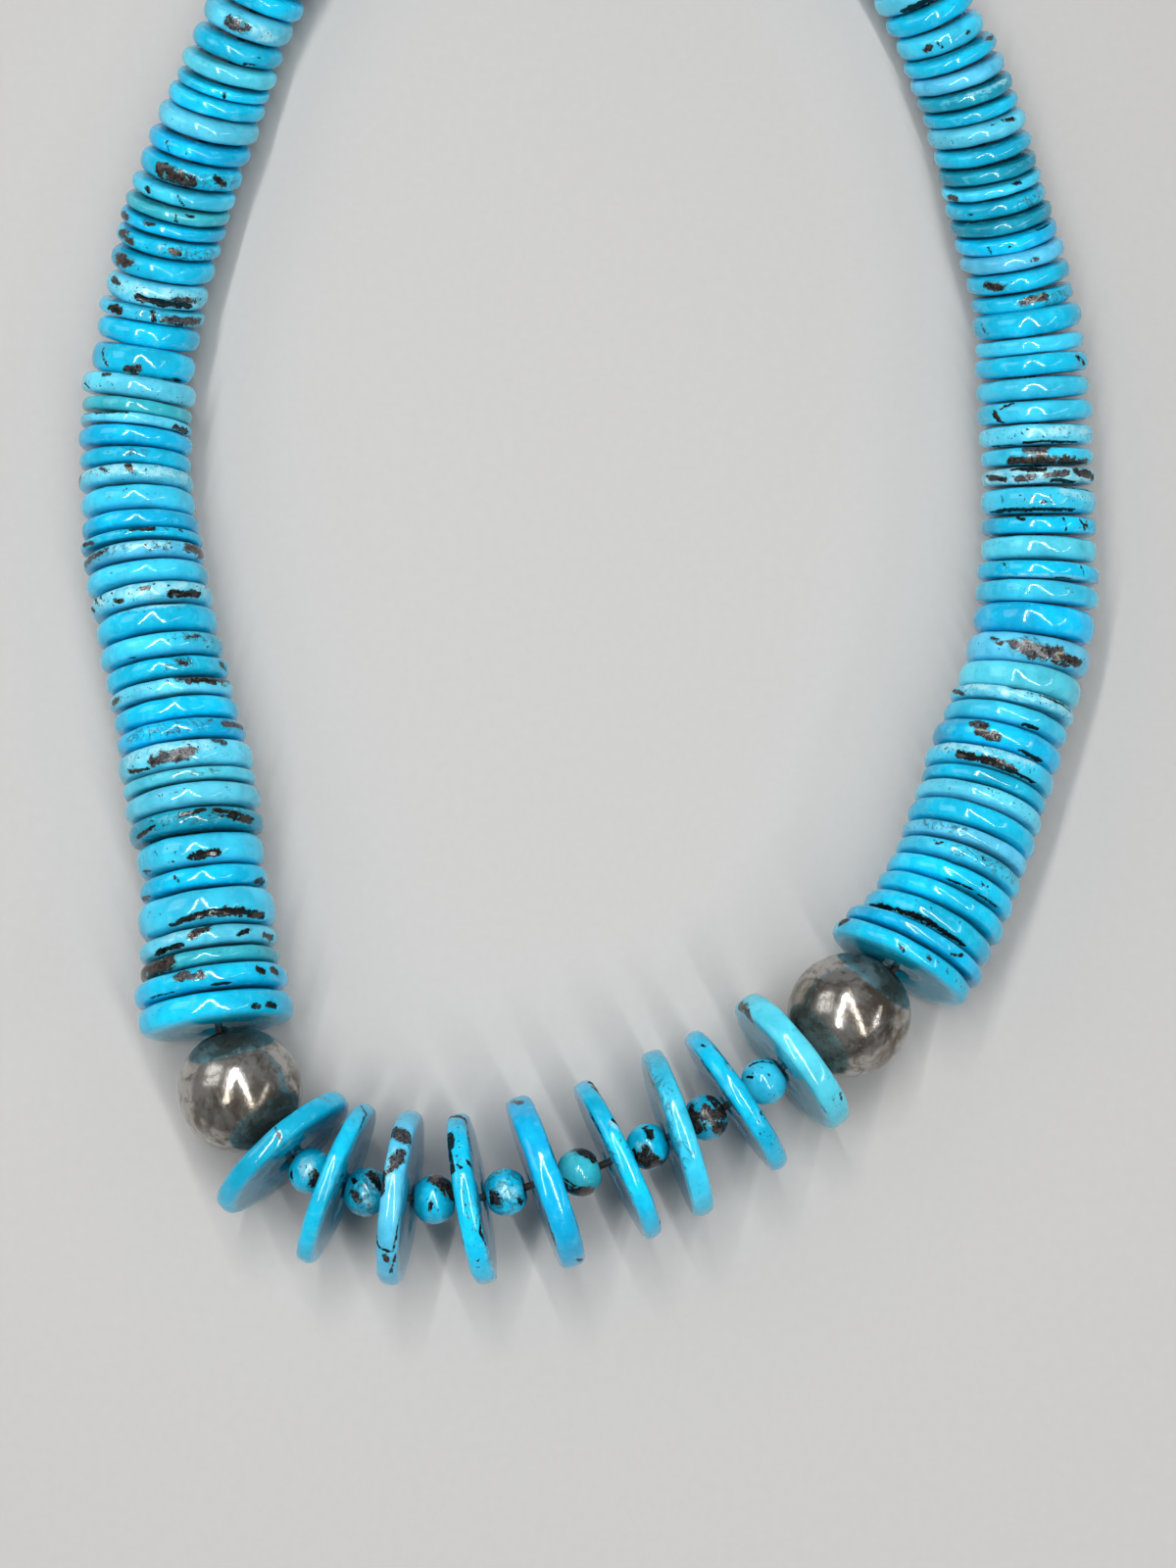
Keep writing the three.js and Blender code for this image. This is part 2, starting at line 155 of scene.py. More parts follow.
# Strand discs, counted from the silver bead: (diameter, thickness, tone, marks).
LEFT_STRAND = [
    (17.8, 3.2, "sky", "speck -.7 .1 -.45 .2 .7; black .58 -.4 .66 -.45 .33;"
     "black .74 -.3 .84 -.4 .36"),
    (17.7, 2.6, "bright", "grey -.26 .2 -.02 .1 .75; white -.1 .1 .12 .1 .39;"
     "black .15 -.8 .35 -.85 .3; black .7 .1 .75 -.1 .36; black .86 .1 .92 -.2 .36;"
     "black -.75 -.7 -.45 -.85 .18"),
    (16.0, 1.9, "green", "brown -.97 -.1 -.5 .1 1.38; speck .2 0 .8 0 .5"),
    (15.9, 2.2, "pale", "white -.5 .3 -.15 .3 .55; brown -.12 0 .16 .6 .51;"
     "black -.75 -.8 -.3 -.55 .38; black .55 -.3 .72 .1 .24; black .88 -.3 .98 -.5 .33"),
    (15.8, 4.1, "light", "black -.45 -.8 .2 -.5 .33; black .2 -.5 .9 -.75 .54;"
     "speck -.9 0 -.5 0 .6"),
    (14.8, 2.4, "bright", "black -.34 .2 -.28 -.3 .15; black .9 -.6 .99 -.7 .45;"
     "black -.98 -.5 -.85 -.7 .27"),
    (14.7, 3.6, "light", "black -.05 -.62 .36 -.5 .57; speck -.8 0 -.2 .2 1;"
     "black -.42 -.68 -.32 -.7 .15; black -.9 -.7 -.8 -.75 .24"),
    (15.6, 2.4, "teal", "black -.1 .1 .28 .4 .24; black .4 .3 .9 -.3 .3;"
     "black .5 -.2 .95 -.7 .24; black -.85 -.6 -.5 -.2 .18; speck -.9 0 .9 0 1;"
     "vein -.3 0 .8 0 .9"),
    (15.8, 2.6, "pale", "black .6 .15 .67 -.15 .15; speck -.6 0 .2 .2 .5"),
    (15.5, 1.5, "aqua", "speck -.5 0 .1 .2 .5; vein .2 0 .5 0 .5"),
    (15.6, 3.1, "pale", "white -.75 .2 .4 .3 1.1; grey -.38 -.3 .22 -.1 .75;"
     "black -.8 -.5 -.5 -.7 .24; grey .58 .6 .7 .35 .48; speck -.9 0 .7 0 1.5"),
    (15.1, 2.3, "blue", "vein -.7 0 .8 0 .9; grey .75 .1 .98 .1 .45"),
    (14.6, 2.5, "bright", "black -.16 .95 -.02 .9 .24; black .12 .98 .6 .98 .3"),
    (14.5, 2.0, "pale", "grey .25 .6 .95 .45 .75; black .5 .3 .8 .1 .34;"
     "brown -.9 -.2 -.78 -.1 .45; speck -.7 0 .2 .2 .9"),
    (14.3, 2.3, "sky", "vein .1 0 .55 .2 .9; brown .33 .1 .45 -.1 .36; speck 0 0 .8 0 .9;"
     "black .93 .1 .99 -.2 .32"),
    (14.5, 2.6, "light", "speck .2 0 1 0 1.1; grey .5 .1 .7 .2 .28; vein .4 .2 .85 .2 .8;"
     "black -.5 -.85 -.3 -.9 .14"),
    (14.2, 3.1, "sky", "white -.5 .6 .6 .6 .33; speck -.7 .4 .8 .4 .7"),
    (14.3, 2.4, "pale", "white -.9 .3 .9 .2 1.3; black .45 -.45 .85 -.35 .55;"
     "brown -.48 -.35 -.36 -.4 .32; grey 0 .1 .1 .15 .3; black -.99 .5 -.9 -.4 .22;"
     "black -.88 .6 -.8 -.2 .16; black -.8 .7 -.7 0 .13; speck -1 0 1 0 1.6"),
    (14.3, 2.5, "light", "black -.54 .1 -.46 0 .14"),
    (14.2, 2.0, "peri", "grey .84 .1 .99 0 .9; grey -.95 -.2 -.5 .3 .4; speck -.9 0 .9 0 1;"
     "white -.4 .3 .5 .1 .6; vein -.5 0 .5 0 .8"),
    (14.3, 1.2, "bright", "black 0 .5 .35 .35 .34; black -.2 .9 .2 .9 .3;"
     "black -.9 -.1 -.72 -.4 .28; black .5 .6 .56 .2 .15; black .7 .6 .76 .2 .15;"
     "speck -.5 .4 .9 .4 .7"),
    (13.7, 2.3, "blue", ""),
    (13.4, 2.8, "light", "speck -.3 0 .5 0 .7"),
    (13.5, 2.2, "pale", "grey -.99 -.2 -.93 .1 .5; brown 0 .4 .12 -.3 .38; speck -.9 0 .9 0 1.4;"
     "white -.9 .3 .9 .1 .9; grey -.5 .4 -.4 0 .3"),
    (13.0, 2.1, "mid", "vein -.3 .2 .3 0 .6"),
    (13.5, 2.3, "blue", ""),
    (13.3, 1.3, "pale", "black -.85 .7 -.05 .75 .4; black .8 -.4 .98 -.6 .4"),
    (13.0, 1.8, "green", ""),
    (13.6, 2.7, "pale", "brown -.52 .45 -.4 .55 .42; speck -.9 -.2 .9 -.5 1;"
     "black -.9 -.1 -.8 -.5 .14"),
    (12.3, 3.7, "sky", "black -.72 .5 -.62 -.4 .14; brown -.12 -.5 .1 -.4 .55;"
     "black -.1 -.85 .12 -.95 .3; notch .7 -.9 .9 -.9 .3; black .62 -.9 .95 -.95 .25;"
     "black -.6 -.3 -.56 -.5 .15"),
    (12.3, 2.9, "bright", ""),
    (12.7, 1.7, "light", "black -.65 .1 -.42 0 .5; black .2 .6 .25 -.6 .24; grey .45 0 .95 0 .6;"
     "speck -.2 0 1 0 1.4; black .6 -.5 .75 -.6 .25"),
    (12.3, 2.9, "pale", "white -.5 .2 .9 .2 1.2; black -.15 -.2 .8 -.35 .5; speck -1 0 1 0 1.6;"
     "black -.85 .5 -.6 .3 .34; grey .5 0 .9 .1 .4"),
    (12.5, 2.5, "mid", "brown -.75 .2 -.45 .1 .7; speck -.8 0 -.3 0 .9"),
    (12.6, 2.0, "sky", "brown -.8 .3 -.52 -.1 .6; vein .2 0 .95 0 1.2; brown .3 .2 .42 0 .38;"
     "speck -.9 0 .9 0 .9"),
    (12.8, 1.5, "blue", "brown -.88 0 -.72 .1 .55; grey -.34 .7 -.22 .7 .42;"
     "black -.3 -.85 0 -.9 .15"),
    (12.7, 1.5, "green", "black .2 .4 .24 -.4 .15; black .42 .8 .5 .7 .3"),
    (12.5, 1.9, "light", "black -.53 .1 -.48 0 .3; black .1 .5 .28 -.4 .15"),
    (12.5, 2.6, "sky", "brown -.32 .1 .25 -.2 1.05; vein .3 0 .95 0 1; black .68 .4 .82 -.1 .36;"
     "speck .3 0 .95 0 .8"),
    (12.4, 2.1, "blue", "black -.45 .4 -.38 -.4 .14; black 0 .1 .03 -.1 .14"),
    (12.4, 2.6, "pale", "speck -.6 0 -.4 0 .5; speck .2 0 .4 0 .5"),
    (12.0, 2.0, "sky", ""),
    (11.5, 1.3, "sky", "black .3 .4 .32 -.4 .14"),
    (11.7, 2.1, "aqua", ""),
    (11.3, 2.5, "mid", "black .5 -.5 .68 -.4 .2; black .7 .3 .75 .2 .15"),
    (11.2, 3.0, "pale", "grey -.08 0 .22 .1 1.05; white .3 .2 .8 0 .88; speck .3 0 .9 0 1"),
    (11.2, 2.5, "bright", ""),
]
RIGHT_STRAND = [
    (17.3, 2.3, "sky", "black -.15 -.2 -.09 -.5 .21; brown .22 .1 .27 0 .2; speck .2 0 .8 0 .7;"
     "black -.97 0 -.91 .3 .36"),
    (17.1, 1.8, "blue", "black .5 -.3 .58 .1 .18; black .44 -.45 .5 -.3 .15"),
    (15.9, 2.8, "sky", "black -.95 -.8 -.3 -.65 .45; black -.3 -.65 .55 -.85 .51;"
     "speck -.6 .2 .4 .3 .5"),
    (15.7, 2.3, "sky", ""),
    (15.3, 2.3, "bright", "black .32 .2 .37 -.1 .15; black .43 .1 .5 -.2 .15;"
     "black -.2 -.9 .3 -.85 .24; black .4 -.9 .8 -.9 .24"),
    (15.0, 2.1, "light", "black -.55 .3 -.5 -.1 .15; black -.5 -.1 -.43 .2 .15;"
     "black .24 .1 .26 0 .2; vein -.2 0 .8 0 .8"),
    (14.9, 1.8, "peri", "speck -.9 0 -.2 .1 .8; vein -.8 0 -.1 0 .7"),
    (15.2, 2.5, "sky", ""),
    (15.1, 2.1, "pale", "speck -.8 0 .8 0 .9"),
    (14.7, 1.7, "mid", ""),
    (15.2, 2.3, "light", "white -.9 .4 .5 .5 1; black -.6 -.35 -.1 -.5 .5;"
     "brown -.1 -.45 .3 -.7 .6; black .2 -.8 .7 -.9 .3; speck -.9 0 .5 0 1.6"),
    (15.1, 3.0, "blue", "grey -.52 .3 -.35 .1 .6; brown -.42 -.2 -.1 -.4 .5;"
     "black .3 -.75 .7 -.85 .3"),
    (14.5, 2.4, "light", "black .24 -.85 .46 -.85 .36"),
    (14.5, 1.6, "pale", "white -.8 .3 .9 .3 1.1; black -.99 .3 -.88 -.6 .3; black -.2 .8 0 .75 .3;"
     "black .3 .5 .9 .3 .15; speck -.8 0 .9 0 1.4"),
    (14.4, 3.2, "aqua", ""),
    (14.4, 3.6, "peri", "grey -.3 0 .3 -.2 1.3; brown .3 -.2 .75 -.4 .6; brown -.7 .3 -.55 0 .35;"
     "brown .3 -.6 .6 -.7 .3; speck -.9 0 .9 0 .9"),
    (14.2, 3.6, "blue", ""),
    (14.4, 2.6, "light", "speck -.5 0 .5 0 .7"),
    (14.3, 2.2, "bright", "black -.68 .4 -.62 -.1 .14; black .6 .4 .65 -.3 .15;"
     "white -.7 -.7 .9 -.8 .45; brown .2 -.9 .45 -.95 .25"),
    (13.5, 2.9, "aqua", ""),
    (13.5, 2.1, "bright", "black -.5 .6 -.42 .4 .3; black .28 .6 .33 -.5 .13;"
     "black .6 .4 .7 -.5 .15; black .68 0 .8 -.3 .15; speck .5 0 .9 0 .8"),
    (13.6, 3.2, "light", "black -.95 -.75 .5 -.7 .34; black -.1 -.2 .15 -.1 .17;"
     "black -.75 .3 -.72 -.2 .13; white .3 .5 .9 .1 .7; black .35 .9 .9 .75 .22;"
     "speck -.8 0 .8 0 1"),
    (13.4, 2.1, "tan", "white -1 0 1 0 1.3; speck -1 0 1 0 2.2; black -.4 .7 -.05 .5 .5;"
     "grey 0 -.1 .35 .1 .5; black .55 .3 .9 -.1 .5; black -.95 .1 -.7 -.3 .3;"
     "black .1 -.5 .5 -.8 .34; grey -.5 -.3 -.2 -.1 .4; black -.6 .5 -.5 .6 .24"),
    (13.3, 2.1, "light", "grey -.35 .6 0 .6 .8; brown -.55 -.45 .85 -.75 .8"),
    (13.5, 2.5, "pale", "black -.35 -.7 .65 -.8 .36; black -.9 -.8 -.6 -.95 .3;"
     "white -.3 .1 .8 .2 .6; speck -1 0 1 0 .9"),
    (13.7, 2.6, "light", "black -.8 .1 -.72 -.7 .3; black -.72 .3 -.5 .75 .2;"
     "black .45 -.9 .55 -.9 .14"),
    (13.4, 2.6, "light", ""),
    (13.5, 2.5, "sky", "black .7 .3 .74 .1 .27; black .8 -.1 .85 -.3 .26"),
    (12.9, 2.0, "light", ""),
    (12.9, 3.1, "sky", "black -.93 .3 -.86 -.3 .15"),
    (12.2, 2.0, "mid", "grey -.2 .2 .22 .3 .57; brown 0 .1 .18 .4 .38; vein .2 0 .8 0 .8"),
    (12.5, 2.3, "mid", "brown -.75 .2 -.5 0 .55; speck -.8 0 -.3 0 .8"),
    (12.6, 2.1, "peri", "brown .16 0 .23 .1 .38"),
    (12.5, 1.9, "blue", "black -.57 .3 -.53 -.3 .14; black .5 .9 .8 .9 .24;"
     "black -.2 0 -.17 0 .15"),
    (12.4, 1.6, "teal", ""),
    (12.1, 1.9, "mid", "black -.74 0 -.67 0 .18; vein .3 0 .9 0 .9"),
    (12.2, 1.4, "light", "black .27 .9 .35 .7 .36; brown -.95 0 -.87 0 .46"),
    (12.0, 1.7, "teal", ""),
    (12.0, 1.9, "mid", ""),
    (12.1, 2.3, "pale", "speck -1 0 -.5 0 .9; black .4 .8 .6 .6 .42; black .1 .8 .18 .8 .18"),
    (11.7, 1.6, "mid", ""),
    (11.9, 1.7, "teal", "white -.2 .7 .8 .7 .44; speck -.2 .5 .9 .5 .8"),
    (11.7, 2.0, "peri", ""),
    (11.7, 1.8, "mid", "black .75 .8 .9 .7 .42"),
    (11.0, 2.7, "light", "brown -.62 0 -.56 .1 .41; black -.38 .3 -.31 -.2 .15;"
     "brown .33 0 .37 0 .29"),
    (11.2, 2.4, "bright", ""),
    (11.2, 2.6, "pale", "black -.7 -.5 .32 -.45 .51"),
]
STRANDS = {"left": LEFT_STRAND, "right": RIGHT_STRAND}

# Front discs from left to right. `along` is the distance along the thread from the middle one,
# `heading` the bore's direction in plan and `lean` how far the top tips that way.
FRONT_KEYS = ("along", "diameter", "thickness", "heading", "lean", "tone", "marks")
FRONT_DISCS = [
    (-30.8, 18.6, 2.5, -47.5, -6, "mid", "brown -.1 .9 -.2 -.9 .1; tan -.9 .9 -.8 -.7 .1"),
    (-23.8, 19.0, 2.2, -21.5, -2.5, "sky", "black -.96 -.3 -.88 .6 .12; black -.86 .5 -.7 .9 .12;"
     "speck -.95 0 -.5 .5 .5; vein -.9 1.5 -.5 2.2 1"),
    (-16.4, 19.8, 2.6, -6.5, -3, "peri", "grey -.73 -.5 -.66 .5 .95; grey -.48 .3 -.32 -.1 .75;"
     "brown -.22 -.75 -.02 -.8 .5; black .44 -.95 .58 -.6 .16; black .58 -.6 .62 .5 .17;"
     "black .62 .5 .2 .95 .15; black .66 .7 .86 .3 .16; brown .67 0 .72 .1 .34;"
     "white -.5 -.4 -.2 -.2 .7"),
    (-8.4, 19.4, 2.6, 10, -2.5, "bright", "black -.98 -.5 -.93 .7 .36; black -.93 .75 -.6 1 .22;"
     "black -.74 -.6 -.6 -.65 .6; black -.58 -.7 -.36 -.6 .45; black -.42 .5 -.38 .8 .25;"
     "black -.4 -.3 -.34 .1 .12; black .28 .95 .42 .6 .2; black .42 .6 .62 .95 .18;"
     "black .5 -.9 .56 -.9 .2; brown .2 1.4 .7 1.9 .6; vein .1 1.2 .8 1.7 2;"
     "vein -.9 1.1 -.4 1.5 1.2; black -.3 -.85 .3 -.98 .16; speck -.9 0 .9 0 .8;"
     "black -.8 1.3 -.5 1.6 .25"),
    (0.0, 20.3, 3.1, 19.5, 3, "azure", "brown -.96 -.3 -.9 .1 .42; black .93 .2 .97 .5 .2;"
     "black .1 .97 .28 1 .14; notch -.45 1 -.1 1 .4; brown .35 -1.1 .75 -1.1 .5;"
     "black .5 -1 .7 -1 .25; speck .2 -1.5 .9 -1.6 1.2"),
    (8.5, 19.5, 2.3, 26, 3, "bright", "black -.96 .6 -.68 .9 .42; black -.64 -.95 -.2 -.98 .3;"
     "white -.4 .3 -.28 .6 .34; black -.42 .6 -.38 .8 .2; black .6 .95 .86 .9 .16;"
     "black .86 .9 .9 .6 .2; brown -.95 .9 -.5 1 .2; vein -.5 -1.2 .6 -1.3 1;"
     "speck -.4 .2 -.1 .6 .8; black -.1 -.95 .3 -1 .18"),
    (15.8, 19.6, 2.6, 18.5, 2.5, "light", "vein -.9 -1.3 .3 -1.6 2.4; black -.7 -1.2 -.4 -1.3 .16;"
     "brown -.5 -.1 -.44 .2 .14; speck -.9 .2 -.3 .2 .4; grey -.85 -1.2 -.6 -1.4 .3"),
    (23.4, 18.4, 2.4, 34, 1, "bright", "notch -.75 1 -.4 .95 .55; notch -.42 .7 -.36 .7 .35;"
     "black -.8 -.1 -.74 .1 .13; black -.7 -1.2 -.1 -1.3 .4; speck .1 .3 .85 .3 1.2;"
     "black .3 .6 .33 .6 .12; black .5 -.3 .52 -.3 .13; black .8 .4 .82 .4 .12"),
    (31.1, 18.0, 3.1, 38, 5, "aqua", "brown -.96 -.5 -.8 -.95 .75; black .7 .5 .76 .4 .16;"
     "black .72 -.85 .8 -.8 .14; speck .6 0 .9 0 .6"),
]

# Small beads between them: (distance along the thread, diameter, tone, marks).
SMALL_BEADS = [
    (-27.1, 5.3, "sky", "white -.3 -.2 .2 .1 .9; brown .1 .5 .5 .6 .7; speck -1 0 1 0 1;"
     "black .5 -.7 .7 -.6 .3"),
    (-20.3, 5.6, "mid", "black -.75 .2 -.35 .8 .75; white -.6 .1 -.2 .5 .4;"
     "black -.55 -.7 -.35 -.5 .35; grey .1 -.5 .4 -.2 .5; white .1 .1 .5 .4 .6; vein -1 0 1 0 2;"
     "speck -1 0 1 0 2"),
    (-12.6, 5.6, "mid", "brown -.85 .2 -.4 .9 1.4; black .1 -.1 .45 -.15 .13; speck 0 0 .8 0 1"),
    (-4.55, 5.4, "mid", "white -.2 0 .3 .3 .8; grey 0 -.5 .4 -.3 .6; black -.1 -.6 .5 -.7 .2;"
     "vein -1 0 1 0 2; black .5 .6 .8 .7 .3"),
    (4.0, 5.5, "green", "brown .7 -.8 .9 .1 1; brown -.95 .3 -.6 .8 1.1;"
     "black .1 -.9 .6 -.3 .12"),
    (12.2, 5.3, "sky", "brown .5 -.5 .9 .1 1.1; black -.8 .2 -.3 .3 .35; brown 0 -.2 .3 -.1 .45;"
     "black -.2 -.7 .3 -.8 .2; white -.2 -.3 .1 -.2 .4"),
    (19.5, 5.3, "mid", "brown -.7 -.7 .5 -.9 1; brown -.3 .1 .2 .1 .8; brown -.8 .6 .4 .8 .8;"
     "brown .7 .2 .95 .5 .9; white -.1 -.4 .1 -.3 .35; white .3 .4 .5 .3 .3; speck -1 0 1 0 1"),
    (27.2, 5.4, "light", "black -.9 -.2 -.75 .7 .16; black -.7 -.6 -.45 -.4 .16;"
     "black -.85 .2 -.6 .9 .14; speck -1 0 1 0 1"),
]


# ---- the loop and the stance of what is on it ----


def catmull_rom(points, divisions):
    """Places on the closed centripetal curve through the points, at even parameter steps."""
    p = np.array(points, float)
    t = np.arange(divisions + 1) / divisions * len(p)
    i = np.floor(t).astype(int)
    w = (t - i)[:, None]
    a, b, c, d = (p[(i + k) % len(p)] for k in (-1, 0, 1, 2))

    def gap(u, v):
        return np.sqrt(np.linalg.norm(v - u, axis=1))[:, None]

    g0, g1, g2 = gap(a, b), gap(b, c), gap(c, d)
    leave = ((b - a) / g0 - (c - a) / (g0 + g1) + (c - b) / g1) * g1
    reach = ((c - b) / g1 - (d - b) / (g1 + g2) + (d - c) / g2) * g1
    return (b + leave * w + (3 * (c - b) - 2 * leave - reach) * w**2
            + (2 * (b - c) + leave + reach) * w**3)


LOOP_PLACES = catmull_rom(LOOP, 4000) + np.array(SHIFT)
LOOP_RUN = np.concatenate(
    [[0], np.cumsum(np.linalg.norm(np.diff(LOOP_PLACES, axis=0), axis=1))])
LOOP_LENGTH = LOOP_RUN[-1]


def plan_point(along):
    """Place in plan at a signed distance along the loop from the middle front disc."""
    s = along % LOOP_LENGTH
    return np.array([np.interp(s, LOOP_RUN, LOOP_PLACES[:, k]) for k in (0, 1)])


def plan_heading(along):
    """Direction of the thread in plan, in degrees from +X."""
    step = plan_point(along + 0.05) - plan_point(along - 0.05)
    return np.degrees(np.arctan2(step[1], step[0]))


def turn_over(start, end):
    """How far the thread turns between two distances along it, in radians."""
    return abs(np.radians((plan_heading(end) - plan_heading(start) + 180) % 360 - 180))


def strand(side):
    """One strand's discs, from the silver bead to the clasp, each with its place and stance."""
    way = 1 if side == "right" else -1
    table = STRANDS[side]
    numbers, turns, leans = zip(*STANCES[side])
    tapered = [
        (BACK["from"] + (BACK["to"] - BACK["from"]) * i / (BACK["count"] - 1),
         BACK["thicknesses"][i % len(BACK["thicknesses"])], None, "")
        for i in range(BACK["count"])
    ]
    reach = way * SILVER_ALONG[side] + SILVER_REACH
    discs = []
    for i, (diameter, thickness, tone, marks) in enumerate([*table, *tapered]):
        past = i + 1 - len(table)
        if past <= 0:
            lean, turn = np.interp(i + 1, numbers, leans), 0
        else:
            lean = leans[-1] + (CLASP_LEAN - leans[-1]) * past / BACK["count"]
            turn = turn_over(way * reach, way * (reach + thickness))
        pitch = thickness / np.cos(np.radians(lean)) + STRAND_GAP + turn * diameter / 2
        along = way * (reach + pitch / 2)
        reach += pitch
        heading = (90 - np.interp(i + 1, numbers, turns) if past <= 0
                   else plan_heading(along) + (0 if way > 0 else 180))
        discs.append({"diameter": diameter, "thickness": thickness, "tone": tone,
                      "marks": marks, "along": along, "heading": heading, "lean": -lean,
                      "reach": reach, "seed": SEEDS[side] + i})
    return discs


def unit(vectors):
    """The same directions at length 1."""
    return vectors / np.linalg.norm(vectors, axis=-1, keepdims=True)


def basis(across, axis, face):
    return np.array([across, axis, face]).T


def standing(heading, lean):
    """Columns across, axis and face of a piece that stands: its axis points along `heading`
    and its top leans that way."""
    h, tip = np.radians([heading, lean])
    bore = np.array([np.cos(h), np.sin(h), 0])
    up = np.array([0, 0, 1.0])
    face = up * np.cos(tip) + bore * np.sin(tip)
    axis = bore * np.cos(tip) - up * np.sin(tip)
    return basis(np.cross(axis, face), axis, face)


def hanging(before, after, along):
    """Columns and centre of a bead held up by the thread between two pieces."""
    axis = unit(after - before)
    across = unit(np.cross(axis, (0, 0, 1)))
    centre = np.append(plan_point(along), (before[2] + after[2]) / 2)
    return basis(across, axis, np.cross(across, axis)), centre


# ---- turned shapes ----


def lumps(points, size, seed):
    """Smooth random values of about -1 to 1 whose features are `size` mm across: waves in
    random directions, whose lengths are `stretch` times that."""
    waves, stretch, usual_sum = 7, (1.3, 2.8), 2.6
    rng = np.random.default_rng(seed)
    total = np.zeros(points.shape[:-1])
    for _ in range(waves):
        way = rng.normal(size=3)
        way *= 2 * np.pi / (size * rng.uniform(*stretch)) / np.linalg.norm(way)
        total += np.sin(points @ way + rng.uniform(0, 2 * np.pi))
    return total / usual_sum


def ease(low, high, x):
    """A smooth step from 0 where x is `low` to 1 where it is `high`."""
    t = np.clip((x - low) / (high - low), 0, 1)
    return t * t * (3 - 2 * t)


def ripple(waves, phi, shifts):
    """1 and a few waves round a piece, each turned by its shift."""
    total = 1.0
    for (count, share), shift in zip(waves, shifts):
        total = total + share * np.cos(count * phi + shift)
    return total


def closed_profile(side):
    """A closed outline (r, y) from one half of it, which runs from the rim's middle to the
    bore's, and each point's signed way along it from the rim's middle."""
    side = np.array(side, float)
    way = np.concatenate([[0], np.cumsum(np.linalg.norm(np.diff(side, axis=0), axis=1))])
    other = side[-2:0:-1] * (1, -1)
    return np.vstack([side, other]), np.concatenate([way, -way[-2:0:-1]])


def disc_profile(radius, half, depth, square, bore):
    """A disc's outline: its rim is a superellipse of exponent `square` that is `depth` deep.
    Also returns the way along it from the rim's middle to the face."""
    out, deep = DISC_MOUTH
    turns = np.linspace(0, np.pi / 2, RIM_STEPS)
    rim = [(radius - depth + depth * np.cos(a) ** (2 / square), half * np.sin(a) ** (2 / square))
           for a in turns]
    inner = radius - depth
    face = [(inner + (bore + out - inner) * t, half) for t in (0.05, 0.12, 0.25, 0.5, 1)]
    profile, way = closed_profile([*rim, *face, (bore, half - deep), (bore, 0)])
    return profile, way, way[RIM_STEPS - 1]


def bead_profile(radius, squash, bore, rings):
    """A round bead's outline, whose ball is `squash` times as long as it is wide. Also returns
    the way along it from the ball's middle to its end."""
    out, deep = BEAD_MOUTH
    end = np.arcsin((bore + out) / radius)
    ball = [(radius * np.cos(a), radius * squash * np.sin(a))
            for a in np.linspace(0, np.pi / 2 - end, rings)]
    top = ball[-1][1]
    profile, way = closed_profile([*ball, (bore, top - deep), (bore, 0)])
    return profile, way, way[rings - 1]


def columns(count):
    """Angles around a piece from its top, closer together over the upper part."""
    upper = np.linspace(-UPPER, UPPER, count * 3 // 4, endpoint=False)
    lower = np.linspace(UPPER, 360 - UPPER, count - len(upper), endpoint=False)
    return np.radians(np.concatenate([upper, lower]))


def around_axis(r, y, phi):
    """Points at radii r, at places y along the axis and at angles phi from the top."""
    return np.stack([r * np.sin(phi), y, r * np.cos(phi)], axis=-1)


def read_marks(text, span):
    """Strokes of a piece's marks: (kind, angle, way, angle, way, half width). `span` is the way
    from the rim's middle to its edge."""
    strokes = []
    for mark in filter(None, (m.strip() for m in text.split(";"))):
        kind, *numbers = mark.split()
        u0, s0, u1, s1, w = map(float, numbers)
        a0, a1 = np.arcsin(np.clip([u0, u1], -1, 1))
        strokes.append((kind, a0, s0 * span, a1, s1 * span, w))
    return strokes


# Specks come twice as often as each other kind.
STRAY_KINDS = ("black", "brown", "grey", "speck", "vein", "white", "speck")
STRAY_WIDTHS = {"black": 0.14, "brown": 0.3, "grey": 0.35, "speck": 0.8, "vein": 0.8,
                "white": 0.8}
STRAY_REACH = 1.2                # to each side of the lowest point, in radians


def stray_marks(rng, span, everywhere):
    """A few strokes where none are charted: on the lower side, or all round."""
    strokes = []
    for _ in range(rng.integers(1, 5 if everywhere else 4)):
        a = (rng.uniform(-np.pi, np.pi) if everywhere
             else np.pi + rng.uniform(-STRAY_REACH, STRAY_REACH))
        v = rng.uniform(-1, 1) * span
        kind = rng.choice(STRAY_KINDS)
        w = STRAY_WIDTHS[kind] * rng.uniform(0.7, 1.3)
        strokes.append((kind, a, v, a + rng.uniform(0, 0.4), v + rng.uniform(-0.6, 0.6), w))
    return strokes


KINDS = ("brown", "grey", "tan", "black", "white", "notch", "speck", "vein")


